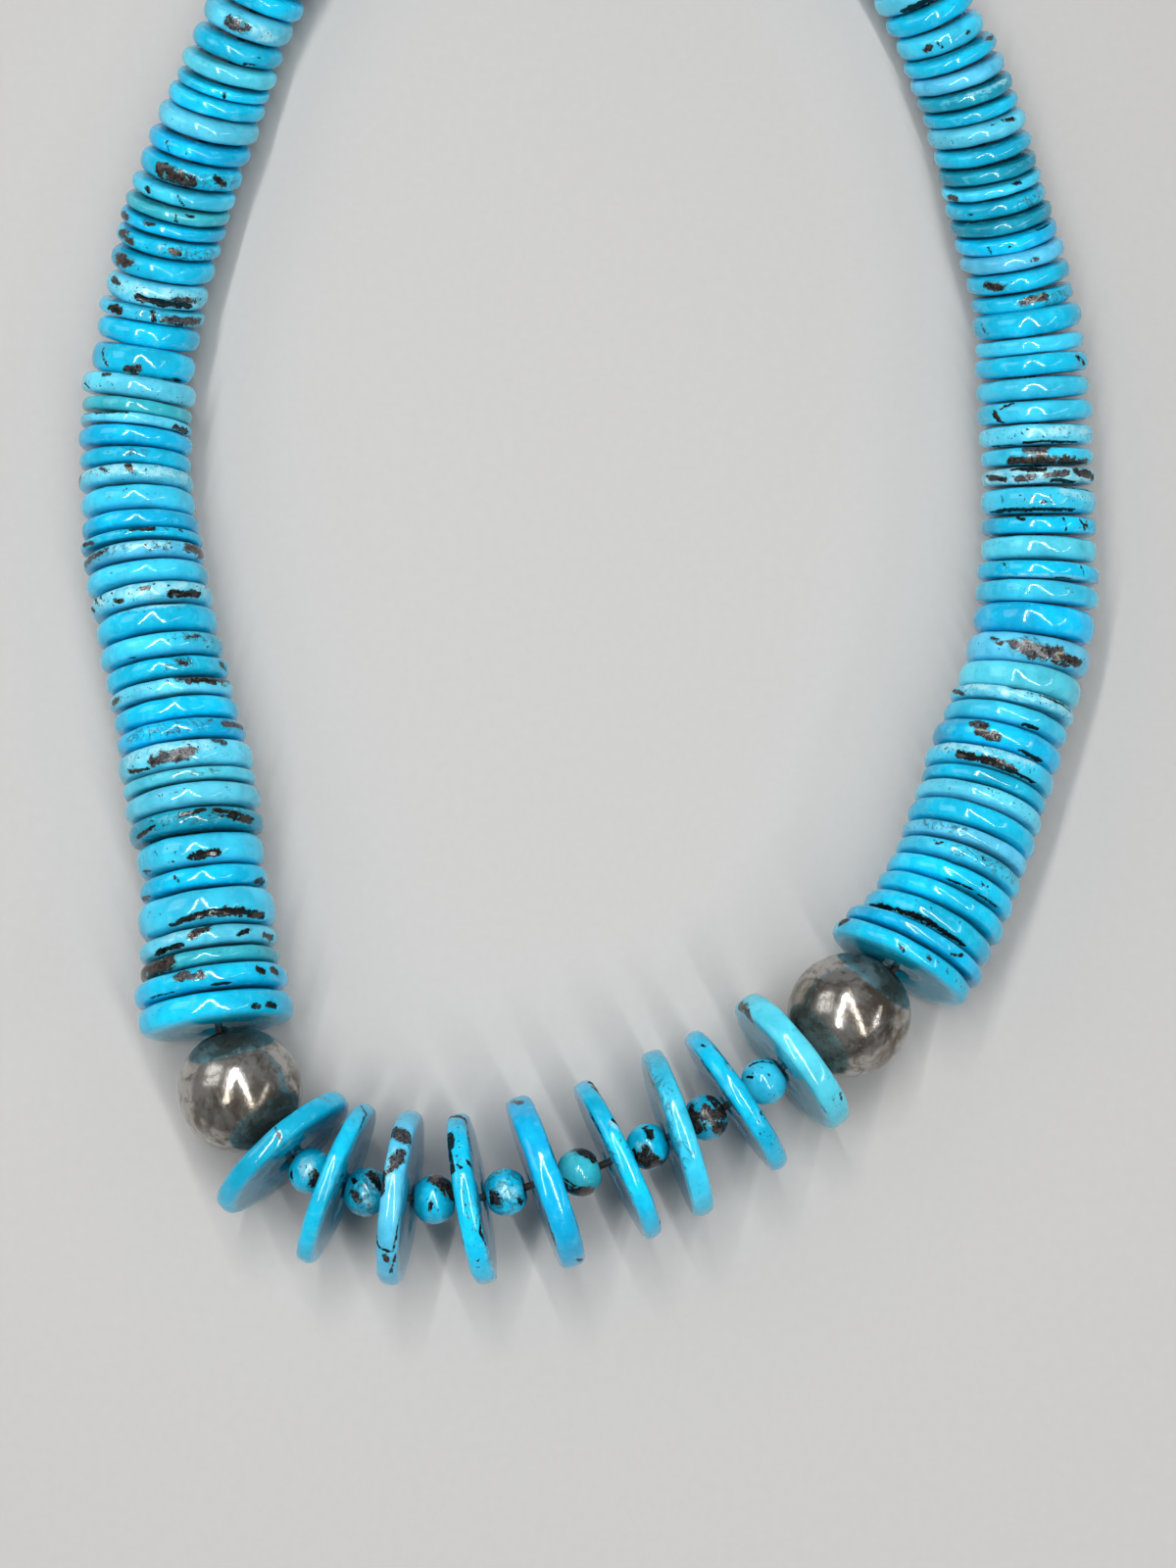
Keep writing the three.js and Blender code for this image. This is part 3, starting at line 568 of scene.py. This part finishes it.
def mark_fields(strokes, phi, way, points, radius, seed):
    """For each kind of mark, how deep inside one each point lies: 0 at its edge, and less
    than 0 outside. It rises more slowly for wide marks, so that their edges are more ragged.
    A stroke is a little wider than its chart says, narrows toward its ends and has an uneven
    edge."""
    fields = {kind: np.full(phi.shape, -1.0) for kind in KINDS}
    wider, unevenness, narrowing, least = 1.1, 0.32, 0.15, 0.25
    ragged = lumps(points, 0.8, seed) * 0.5 + lumps(points, 2.0, seed + 1) * 0.5
    for kind, a0, v0, a1, v1, w in strokes:
        middle = (a0 + a1) / 2
        turn = (phi - middle + np.pi) % (2 * np.pi) - np.pi
        x, y = turn * radius, way - (v0 + v1) / 2
        dx, dy = (a1 - a0) / 2 * radius, (v1 - v0) / 2
        t = np.clip((x * dx + y * dy) / max(dx * dx + dy * dy, 1e-6), -1, 1)
        distance = np.hypot(x - t * dx, y - t * dy)
        width = w * (wider + unevenness * ragged - narrowing * t**2)
        inside = (width - distance) / (w + least) / 2
        fields[kind] = np.maximum(fields[kind], inside)
    return fields


def placed(name, data):
    """A new object in the scene, from a mesh, lamp or camera."""
    made = bpy.data.objects.new(name, data)
    bpy.context.scene.collection.objects.link(made)
    return made


def mesh_object(name, points, faces, material, attributes=()):
    """A piece from points in mm, and its attributes, which are vectors for each point."""
    mesh = bpy.data.meshes.new(name)
    mesh.from_pydata(points * MM, [], faces)
    mesh.shade_smooth()
    for key, values in attributes:
        layer = mesh.attributes.new(key, "FLOAT_VECTOR", "POINT")
        layer.data.foreach_set("vector", values.astype(np.float32).ravel())
    mesh.materials.append(material)
    return placed(name, mesh)


def finish_piece(piece, slot, *nodes):
    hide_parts(*nodes)
    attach(piece, "root")


def ring_faces(across, along):
    """Quads of a grid that closes on itself both ways, point (i, k) being i * along + k."""
    i, k = np.meshgrid(np.arange(across), np.arange(along), indexing="ij")
    i2, k2 = (i + 1) % across, (k + 1) % along
    quads = [i * along + k, i2 * along + k, i2 * along + k2, i * along + k2]
    return np.stack(quads, axis=-1).reshape(-1, 4)


def uneven(rng, r, y, phi, radius, half, wobble, wave):
    """A stone's radii and its places along its axis, made uneven near its rim."""
    outer = ease(radius - UNEVEN_FROM, radius - UNEVEN_TO, r)
    # Only three are used, but with three drawn every later random value would be another.
    shifts = rng.uniform(0, 2 * np.pi, 4)
    r = r * (1 - outer * wobble * ripple(WOBBLE_WAVES, phi, shifts))
    for side in (-1, 1):
        thin = wave / 2 * ripple(THICKNESS_WAVES, phi, rng.uniform(0, 2 * np.pi, 3))
        y = y - side * thin * outer * ease(0, 0.6, side * y / half)
    return r, y


def sinking(points, r, radius, dark, fields, seed):
    """How deep each point lies under the stone's polished form, in mm."""
    dents = DENTS["depth"] * (1 + lumps(points, DENTS["size"], seed + 2)) / 2
    sunk = dents * ease(radius - DENTS["from"], radius - DENTS["to"], r)
    for key, field in (("matrix", dark), ("black", fields["black"]), ("notch", fields["notch"])):
        depth, reached = SUNK[key]
        sunk = sunk + depth * ease(SUNK_FROM, reached, field)
    return sunk


def stone_attributes(points, fields, dark, tone, painted_face_shade, offset, seed):
    """What the material reads at each point: the stone's colour, its marks and a place in the
    noises that is the stone's own."""
    brown, grey, tan = fields["brown"], fields["grey"], fields["tan"]
    # How the matrix looks: 0 brown, 0.5 tan and 1 grey.
    hue = (ease(-0.1, 0.1, grey - np.maximum(brown, tan))
           + 0.5 * ease(-0.1, 0.1, tan - np.maximum(brown, grey)))
    drift = lumps(points, 6.0, seed + 3)[..., None]
    # Painted shade: the colour is made up to 45% darker on the stone's faces, away from the rim,
    # for the shade the faces are in.
    colour = np.array(TONES[tone]) * (1 + 0.12 * drift) * (1 - 0.45 * painted_face_shade)
    pale = np.maximum(fields["white"], fields["notch"])
    specks, veins = (ease(-0.2, 0.2, fields[kind]) for kind in ("speck", "vein"))
    return (
        ("stone_tone_and_face_shade", colour.reshape(-1, 3)),
        ("stone_marks", np.stack([dark, fields["black"], pale], axis=-1).reshape(-1, 3)),
        ("stone_sprinkle", np.stack([specks, veins, hue], axis=-1).reshape(-1, 3)),
        ("stone_place", (points + offset).reshape(-1, 3)),
    )


def turned_stone(profile, way, span, count, strokes, tone, seed, wobble, wave):
    """A hand-cut stone as points about its own centre, its quads and its attributes."""
    rng = np.random.default_rng(seed + 7)
    radius, half = profile.max(axis=0)
    phi = columns(count)[:, None] + 0 * way[None, :]
    r, y = profile[:, 0][None, :] + 0 * phi, profile[:, 1][None, :] + 0 * phi
    tangent = np.roll(profile, -1, axis=0) - np.roll(profile, 1, axis=0)
    normal = unit(np.stack([tangent[:, 1], -tangent[:, 0]], axis=1))
    r, y = uneven(rng, r, y, phi, radius, half, wobble, wave)
    points = around_axis(r, y, phi)
    fields = mark_fields(strokes, phi, way[None, :] + 0 * phi, points, radius, seed)
    dark = np.maximum(np.maximum(fields["brown"], fields["grey"]), fields["tan"])
    sunk = sinking(points, r, radius, dark, fields, seed)
    sunk *= ease(0, 0.1, r - profile[:, 0].min())
    points = around_axis(
        r - sunk * normal[None, :, 0], y - sunk * normal[None, :, 1], phi)
    # Painted shade: how far each point is onto the stone's faces, where its colour is darkened to
    # stand in for shade.
    painted_face_shade = ease(1.0, 1.5, abs(way) / span)[None, :, None]
    attributes = stone_attributes(
        points, fields, dark, tone, painted_face_shade, rng.uniform(-60, 60, 3), seed)
    return points.reshape(-1, 3), ring_faces(count, len(profile)), attributes


# ---- materials ----


# Colours of what isn't plain stone, linear RGB: one, or a darker and a lighter one.
CHALK = ((0.13, 0.60, 0.76), (0.42, 0.80, 0.88))
BROWN_MATRIX = ((0.008, 0.006, 0.005), (0.058, 0.044, 0.036))
GREY_MATRIX = ((0.012, 0.012, 0.014), (0.078, 0.080, 0.090))
TAN_MATRIX = ((0.20, 0.19, 0.13), (0.34, 0.32, 0.24))
PIT = ((0.003, 0.003, 0.003), (0.026, 0.021, 0.017))
STONE_IN_MATRIX, EDGE_OF_MARKS = (0.05, 0.34, 0.42), (0.01, 0.16, 0.18)
SMOKE, VEIN, SPECK = (0.03, 0.11, 0.12), (0.030, 0.026, 0.022), (0.025, 0.05, 0.05)
SILVER_BODY = ((0.17, 0.145, 0.115), (0.47, 0.45, 0.42))
TARNISH, WORN_SILVER, SILVER_PIT = (0.10, 0.078, 0.058), (0.58, 0.57, 0.50), (0.04, 0.035, 0.03)
WAXED = ((0.008, 0.007, 0.006), (0.035, 0.030, 0.026))
FLOOR = ((0.450, 0.442, 0.430), (0.485, 0.477, 0.465))


class Nodes:
    """A new material's node tree, with short calls for the nodes used here."""

    def __init__(self, name):
        self.material = bpy.data.materials.new(name)
        self.material.use_nodes = True
        self.tree = self.material.node_tree
        self.shader = self.tree.nodes["Principled BSDF"]

    def link(self, value, socket):
        if isinstance(value, bpy.types.NodeSocket):
            self.tree.links.new(value, socket)
        else:
            socket.default_value = value

    def set(self, name, value):
        self.link(value, self.shader.inputs[name])

    def new(self, kind, **settings):
        node = self.tree.nodes.new(kind)
        for key, value in settings.items():
            setattr(node, key, value)
        return node

    def attribute(self, name):
        return self.new("ShaderNodeAttribute", attribute_name=name).outputs["Vector"]

    def split(self, vector):
        node = self.new("ShaderNodeSeparateXYZ")
        self.link(vector, node.inputs[0])
        return node.outputs[0], node.outputs[1], node.outputs[2]

    def noise(self, place, scale, detail=4.0, roughness=0.55, distortion=0.0):
        node = self.new("ShaderNodeTexNoise")
        self.link(place, node.inputs["Vector"])
        for key, number in (("Scale", scale), ("Detail", detail), ("Roughness", roughness),
                            ("Distortion", distortion)):
            node.inputs[key].default_value = number
        return node.outputs["Fac"]

    def math(self, operation, *values, clamp=False):
        node = self.new("ShaderNodeMath", operation=operation, use_clamp=clamp)
        for value, socket in zip(values, node.inputs):
            self.link(value, socket)
        return node.outputs[0]

    def scaled(self, value, scale, added, clamp=False):
        """value * scale + added"""
        return self.math("MULTIPLY_ADD", value, scale, added, clamp=clamp)

    def ramp(self, value, low, high, to_low=0.0, to_high=1.0):
        node = self.new("ShaderNodeMapRange", interpolation_type="SMOOTHSTEP")
        for key, number in (("Value", value), ("From Min", low), ("From Max", high),
                            ("To Min", to_low), ("To Max", to_high)):
            self.link(number, node.inputs[key])
        return node.outputs[0]

    def mix(self, factor, one, other, blend="MIX"):
        node = self.new("ShaderNodeMix", data_type="RGBA", blend_type=blend)
        self.link(factor, node.inputs["Factor"])
        for value, key in ((one, "A"), (other, "B")):
            socket = next(s for s in node.inputs if s.name == key and s.type == "RGBA")
            self.link((*value, 1.0) if isinstance(value, tuple) else value, socket)
        return next(s for s in node.outputs if s.type == "RGBA")

    def place_in_mm(self):
        node = self.new("ShaderNodeVectorMath", operation="MULTIPLY")
        self.link(self.new("ShaderNodeTexCoord").outputs["Object"], node.inputs[0])
        node.inputs[1].default_value = (1 / MM, 1 / MM, 1 / MM)
        return node.outputs[0]

    def bump(self, height, strength, distance):
        node = self.new("ShaderNodeBump")
        node.inputs["Strength"].default_value = strength
        node.inputs["Distance"].default_value = distance
        self.link(height, node.inputs["Height"])
        self.set("Normal", node.outputs[0])


def turquoise():
    """Polished turquoise. The mesh says where its marks are, and the noises here give them
    their edges, grain and colour."""
    n = Nodes("turquoise")
    place = n.attribute("stone_place")
    dark, pit, pale = n.split(n.attribute("stone_marks"))
    speck, vein, hue = n.split(n.attribute("stone_sprinkle"))
    broad = n.noise(place, 0.32, 3.0)
    cloud = n.noise(place, 0.9, 3.5, 0.55, 0.4)
    fine = n.noise(place, 2.2, 3.5, 0.6)
    ragged = n.math("SUBTRACT", n.noise(place, 1.25, 5.0, 0.66, 0.8), 0.5)

    colour = n.mix(n.ramp(broad, 0.35, 0.65), (0.74, 0.86, 0.88), (1.10, 1.07, 1.05))
    # The stone's tone from the mesh already holds painted shade on its faces.
    colour = n.mix(1.0, n.attribute("stone_tone_and_face_shade"), colour, "MULTIPLY")
    colour = n.mix(n.ramp(cloud, 0.52, 0.78, 0.0, 0.45), colour, (0.14, 0.70, 0.82))
    colour = n.mix(n.ramp(cloud, 0.46, 0.24, 0.0, 0.40), colour, (0.003, 0.30, 0.42))

    chalk = n.ramp(n.scaled(ragged, 1.2, pale), -0.10, 0.25)
    chalk_colour = n.mix(n.ramp(cloud, 0.35, 0.65), *CHALK)
    colour = n.mix(n.math("MULTIPLY", chalk, 0.75), colour, chalk_colour)

    thread = n.math("ABSOLUTE", n.math("SUBTRACT", n.noise(place, 0.5, 3.0, 0.5, 1.4), 0.5))
    line = n.math("MULTIPLY", n.ramp(thread, 0.012, 0.004), n.ramp(vein, 0.3, 0.9, 0.0, 0.8))
    smoke = n.math("MULTIPLY", n.ramp(thread, 0.09, 0.0), n.math("MULTIPLY", vein, 0.45))
    colour = n.mix(smoke, colour, SMOKE)
    colour = n.mix(line, colour, VEIN)

    dots = n.noise(place, 2.6, 2.0, 0.5, 0.6)
    limit = n.scaled(speck, -0.18, 0.82)
    dots = n.ramp(n.math("SUBTRACT", dots, limit), 0.0, 0.03)
    colour = n.mix(dots, colour, SPECK)

    near = n.scaled(ragged, 0.7, n.math("MAXIMUM", dark, pit))
    colour = n.mix(n.ramp(near, -0.16, 0.0, 0.0, 0.40), colour, EDGE_OF_MARKS)
    matrix = n.ramp(n.scaled(ragged, 1.1, dark), 0.0, 0.035)
    brown = n.mix(n.ramp(fine, 0.38, 0.66), *BROWN_MATRIX)
    grey = n.mix(n.ramp(fine, 0.36, 0.66), *GREY_MATRIX)
    tan = n.mix(n.ramp(fine, 0.36, 0.64), *TAN_MATRIX)
    matrix_colour = n.mix(n.ramp(hue, 0.0, 0.5), brown, tan)
    matrix_colour = n.mix(n.ramp(hue, 0.5, 1.0), matrix_colour, grey)
    matrix_colour = n.mix(n.ramp(cloud, 0.63, 0.67, 0.0, 0.85), matrix_colour, STONE_IN_MATRIX)
    colour = n.mix(matrix, colour, matrix_colour)
    open_pit = n.ramp(n.scaled(ragged, 1.15, pit), -0.015, 0.02)
    colour = n.mix(open_pit, colour, n.mix(n.ramp(fine, 0.48, 0.70), *PIT))
    n.set("Base Color", colour)

    rough = n.ramp(fine, 0.3, 0.7, 0.07, 0.13)
    rough = n.scaled(chalk, 0.10, rough)
    rough = n.scaled(matrix, 0.05, rough)
    rough = n.scaled(open_pit, 0.08, rough, clamp=True)
    n.set("Roughness", rough)
    n.shader.inputs["IOR"].default_value = 1.58

    height = n.math("MULTIPLY", cloud, 0.16)
    height = n.scaled(fine, n.scaled(matrix, 0.7, 0.015), height)
    height = n.scaled(matrix, -0.4, height)
    height = n.scaled(open_pit, -1.4, height)
    height = n.scaled(line, -0.4, height)
    height = n.scaled(dots, -0.35, height)
    n.bump(height, 0.6, 0.00014)
    return n.material


def silver():
    """Polished silver, tarnished grey-brown in clouds and darker in small pits."""
    n = Nodes("tarnished_silver")
    place = n.place_in_mm()
    cloud = n.noise(place, 0.22, 5.0, 0.6, 0.6)
    mottle = n.noise(place, 0.9, 6.0, 0.65, 0.3)
    fine = n.noise(place, 4.0, 4.0, 0.6)
    colour = n.mix(n.ramp(cloud, 0.38, 0.60), *SILVER_BODY)
    colour = n.mix(n.ramp(mottle, 0.48, 0.68, 0.0, 0.75), colour, TARNISH)
    colour = n.mix(n.ramp(mottle, 0.42, 0.30, 0.0, 0.6), colour, WORN_SILVER)
    colour = n.mix(n.ramp(fine, 0.70, 0.76, 0.0, 0.8), colour, SILVER_PIT)
    n.set("Base Color", colour)
    n.shader.inputs["Metallic"].default_value = 0.85
    rough = n.ramp(mottle, 0.35, 0.7, 0.08, 0.26)
    n.set("Roughness", n.scaled(fine, 0.06, rough))
    height = n.scaled(mottle, 0.5, n.math("MULTIPLY", fine, 0.12))
    n.bump(height, 0.35, 0.00012)
    return n.material


def black_thread():
    n = Nodes("waxed_thread")
    place = n.place_in_mm()
    fibre = n.noise(place, 6.0, 3.0)
    n.set("Base Color", n.mix(fibre, *WAXED))
    n.set("Roughness", n.ramp(fibre, 0.3, 0.7, 0.5, 0.8))
    n.bump(fibre, 0.5, 0.0001)
    return n.material


def pale_floor():
    n = Nodes("pale_floor")
    place = n.new("ShaderNodeTexCoord").outputs["Object"]
    fine = n.noise(place, 900.0, 3.0)
    n.set("Base Color", n.mix(fine, *FLOOR))
    n.shader.inputs["Roughness"].default_value = 0.55
    return n.material


# ---- the discs and beads ----

STONE, SILVER, THREAD = turquoise(), silver(), black_thread()


def settle(points, columns_of, along):
    """Points turned into their stance and set down on the surface, and their centre."""
    turned = points @ columns_of.T
    centre = np.append(plan_point(along), -turned[:, 2].min())
    return turned + centre, centre


def add_disc(name, node, disc, kind):
    """A disc of the kind front, strand or back, stood on the surface. Returns its centre."""
    radius, half = disc["diameter"] / 2, disc["thickness"] / 2
    rng = np.random.default_rng(disc["seed"])
    if kind == "front":
        depth, wave = FRONT_RIM["depth"], FRONT_RIM["wave"]
        square = rng.uniform(*FRONT_RIM["square"])
    else:
        depth = min(STRAND_RIM["most"] * half, STRAND_RIM["depth"])
        wave = STRAND_RIM["wave"] * disc["thickness"]
        square = rng.uniform(*STRAND_RIM["square"])
    profile, way, span = disc_profile(radius, half, depth, square, DISC_BORE)
    tone = disc["tone"] or rng.choice(BACK_TONES)
    strokes = read_marks(disc["marks"], span) + stray_marks(rng, span, everywhere=kind == "back")
    count = int(disc["diameter"] * DISC_COLUMNS[kind])
    points, faces, attributes = turned_stone(
        profile, way, span, count, strokes, tone, disc["seed"], DISC_WOBBLE, wave)
    points, centre = settle(points, standing(disc["heading"], disc["lean"]), disc["along"])
    finish_piece(mesh_object(name, points, faces, STONE, attributes), "turquoise", node)
    return centre


strands = {side: strand(side) for side in STRANDS}
centres = {}
for side, discs in strands.items():
    nodes = [(f"{side}_disc_{i + 1:02d}", "strand") for i in range(OWN_DISCS)]
    for run, count in enumerate(JOINED_RUNS, start=1):
        nodes += [(f"{side}_run_{run}", "back" if run in BACK_RUNS else "strand")] * count
    centres[side] = [
        add_disc(f"{side}_stone_{i + 1:02d}", node, disc, kind)
        for i, (disc, (node, kind)) in enumerate(zip(discs, nodes))
    ]

front_centres = []
for i, row in enumerate(FRONT_DISCS):
    disc = dict(zip(FRONT_KEYS, row), seed=SEEDS["front"] + i)
    front_centres.append(
        add_disc(f"front_stone_{i + 1}", f"front_disc_{i + 1}", disc, "front"))

for i, (along, diameter, tone, marks) in enumerate(SMALL_BEADS):
    profile, way, span = bead_profile(diameter / 2, SMALL_SQUASH, SMALL_BORE, SMALL_RINGS)
    points, faces, attributes = turned_stone(
        profile, way, span, SMALL_COLUMNS, read_marks(marks, span), tone, SEEDS["small"] + i,
        BEAD_WOBBLE, 0.0)
    turn, centre = hanging(front_centres[i], front_centres[i + 1], along)
    piece = mesh_object(f"small_stone_{i + 1}", points @ turn.T + centre, faces, STONE,
                        attributes)
    finish_piece(piece, "turquoise", f"small_bead_{i + 1}")

silver_centres = {}
for side, neighbour in (("left", front_centres[0]), ("right", front_centres[-1])):
    turn, centre = hanging(centres[side][0], neighbour, SILVER_ALONG[side])
    profile = bead_profile(SILVER_RADIUS, 1, SILVER_BORE, SILVER_RINGS)[0]
    phi = np.linspace(0, 2 * np.pi, SILVER_COLUMNS, endpoint=False)[:, None]
    ball = around_axis(profile[:, 0], profile[:, 1] + 0 * phi, phi).reshape(-1, 3)
    dents = lumps(ball, SILVER_DENTS["size"], SEEDS["silver"])[:, None]
    ball *= 1 + SILVER_DENTS["share"] * dents
    piece = mesh_object(f"silver_ball_{side}", ball @ turn.T + centre,
                        ring_faces(len(phi), len(profile)), SILVER)
    finish_piece(piece, "silver", f"silver_bead_{side}")
    silver_centres[side] = centre

# ---- the clasp and the thread ----

clasp_from = strands["right"][-1]["reach"] + CLASP["gap"]
clasp_to = LOOP_LENGTH - strands["left"][-1]["reach"] - CLASP["gap"]
clasp_along = (clasp_from + clasp_to) / 2


def rounded_box(size, rounding):
    """Points and quads of a box with round edges: a grid over each side of a cube, pulled in
    to a smaller box and pushed out from it by the rounding. The middle `painted_face_shade` of a side makes
    the flat face, and the rest the round edge."""
    painted_face_shade, flat_steps, round_steps = 0.8, 9, 7
    line = np.concatenate([np.linspace(-1, -painted_face_shade, round_steps),
                           np.linspace(-0.7, 0.7, flat_steps),
                           np.linspace(painted_face_shade, 1, round_steps)])
    inner = np.array(size) / 2 - rounding
    n = len(line)
    sides, quads = [], []
    for axis in range(3):
        for sign in (-1, 1):
            cube = np.zeros((n, n, 3))
            cube[..., axis] = sign
            cube[..., (axis + 1) % 3], cube[..., (axis + 2) % 3] = np.meshgrid(
                line, line, indexing="ij")
            base = len(sides) * n * n
            sides.append(cube.reshape(-1, 3))
            i, k = np.meshgrid(np.arange(n - 1), np.arange(n - 1), indexing="ij")
            q = np.stack([i * n + k, (i + 1) * n + k, (i + 1) * n + k + 1, i * n + k + 1], -1)
            quads.append(base + (q if sign > 0 else q[..., ::-1]).reshape(-1, 4))
    cube = np.concatenate(sides)
    core = np.clip(cube / painted_face_shade, -1, 1) * inner
    out = unit(np.where(abs(cube) > painted_face_shade, cube - painted_face_shade * np.sign(cube), 0))
    points, merged = np.unique(np.round(core + out * rounding, 6), axis=0, return_inverse=True)
    return points, merged.ravel()[np.concatenate(quads)]


box_points, box_quads = rounded_box(
    (CLASP["width"], clasp_to - clasp_from, CLASP["height"]), CLASP["round"])
box_points, clasp_centre = settle(
    box_points, standing(plan_heading(clasp_along), 0), clasp_along)
finish_piece(mesh_object("clasp_box", box_points, box_quads, SILVER), "silver", "clasp")

path = [*centres["left"][::-1], silver_centres["left"], *front_centres, silver_centres["right"],
        *centres["right"], clasp_centre]
path = catmull_rom(path, THREAD_STEPS["along"])[:-1]
tangent = unit(np.roll(path, -1, axis=0) - np.roll(path, 1, axis=0))
sideways = unit(np.cross(tangent, (0, 0, 1)))
upward = np.cross(sideways, tangent)
run = np.cumsum(np.linalg.norm(path - np.roll(path, 1, axis=0), axis=1))[:, None]
around = np.linspace(0, 2 * np.pi, THREAD_STEPS["around"], endpoint=False)[None, :]
furrows = np.cos(THREAD_SHAPE["plies"] * around - run * 2 * np.pi / THREAD_SHAPE["lay"])
plies = (THREAD_SHAPE["radius"] * (1 + THREAD_SHAPE["relief"] * furrows)
         * THREAD_SHAPE["fill"])
tube = (path[:, None] + (plies * np.cos(around))[..., None] * sideways[:, None]
        + (plies * np.sin(around))[..., None] * upward[:, None])
thread = mesh_object("thread_line", tube.reshape(-1, 3),
                     ring_faces(len(path), around.size), THREAD)
finish_piece(thread, "thread", "thread")

# ---- stage, lights and camera ----

FLOOR_REACH = 9000               # from the middle to each side
corners = np.array([(-1, -1, 0), (1, -1, 0), (1, 1, 0), (-1, 1, 0)]) * FLOOR_REACH
floor = mesh_object("floor", corners, [(0, 1, 2, 3)], pale_floor())


def area_light(name, place, axes, size, power):
    """A rectangular lamp whose own X, Y and Z are the columns of `axes`. It shines along -Z."""
    light = bpy.data.lights.new(name, "AREA")
    light.shape, light.size, light.size_y = "RECTANGLE", size[0], size[1]
    light.energy = power
    lamp = placed(name, light)
    lamp.matrix_world = Matrix.Translation(place) @ Matrix(axes.tolist()).to_4x4()


def soft_light(name, place, size, power):
    """A broad lamp that faces the middle of the frame, its long side toward +Y."""
    back = unit(np.array(place))
    right = unit(np.cross((0, 1, 0), back))
    area_light(name, place, basis(right, np.cross(back, right), back), size, power)


def strip_light(name, start, end, width, power):
    """A long thin lamp at one height, between two places in plan, that faces down."""
    start, end = np.array([*start, LAMP_HEIGHT]), np.array([*end, LAMP_HEIGHT])
    length = np.linalg.norm(end - start)
    along = (end - start) / length
    right = np.cross(along, (0, 0, 1))
    area_light(name, (start + end) / 2, basis(right, along, np.cross(right, along)),
               (width, length), power)


# In metres. Three strips in a zigzag, whose glints show on the silver and the polished rims,
# and a broad soft lamp.
LAMP_HEIGHT = 0.60
strip_light("strip_left", (-0.26, -0.36), (-0.09, 0.34), 0.010, 2.3)
strip_light("strip_middle", (0.38, -0.62), (-0.07, 0.34), 0.010, 2.9)
strip_light("strip_right", (0.54, -0.50), (0.92, 0.12), 0.03, 1.1)
soft_light("soft_left", (-0.70, 0.30, LAMP_HEIGHT), (0.5, 0.6), 1.3)

world = bpy.data.worlds.new("studio")
world.use_nodes = True
background = world.node_tree.nodes["Background"]
background.inputs["Color"].default_value = (0.93, 0.96, 1.0, 1)
background.inputs["Strength"].default_value = 0.18
bpy.context.scene.world = world
bpy.context.scene.view_settings.view_transform = "Standard"

CAMERA = {"lens": 67.5, "sensor": 36.0, "nearest": 10.0, "height": 342.0, "tilt": 8.5}
lens = bpy.data.cameras.new("camera")
lens.lens, lens.sensor_width = CAMERA["lens"], CAMERA["sensor"]
lens.clip_start = CAMERA["nearest"] * MM
camera = placed("camera", lens)
camera.location = (SHIFT[0] * MM, SHIFT[1] * MM, CAMERA["height"] * MM)
camera.rotation_euler = (np.radians(CAMERA["tilt"]), 0, 0)
bpy.context.scene.camera = camera
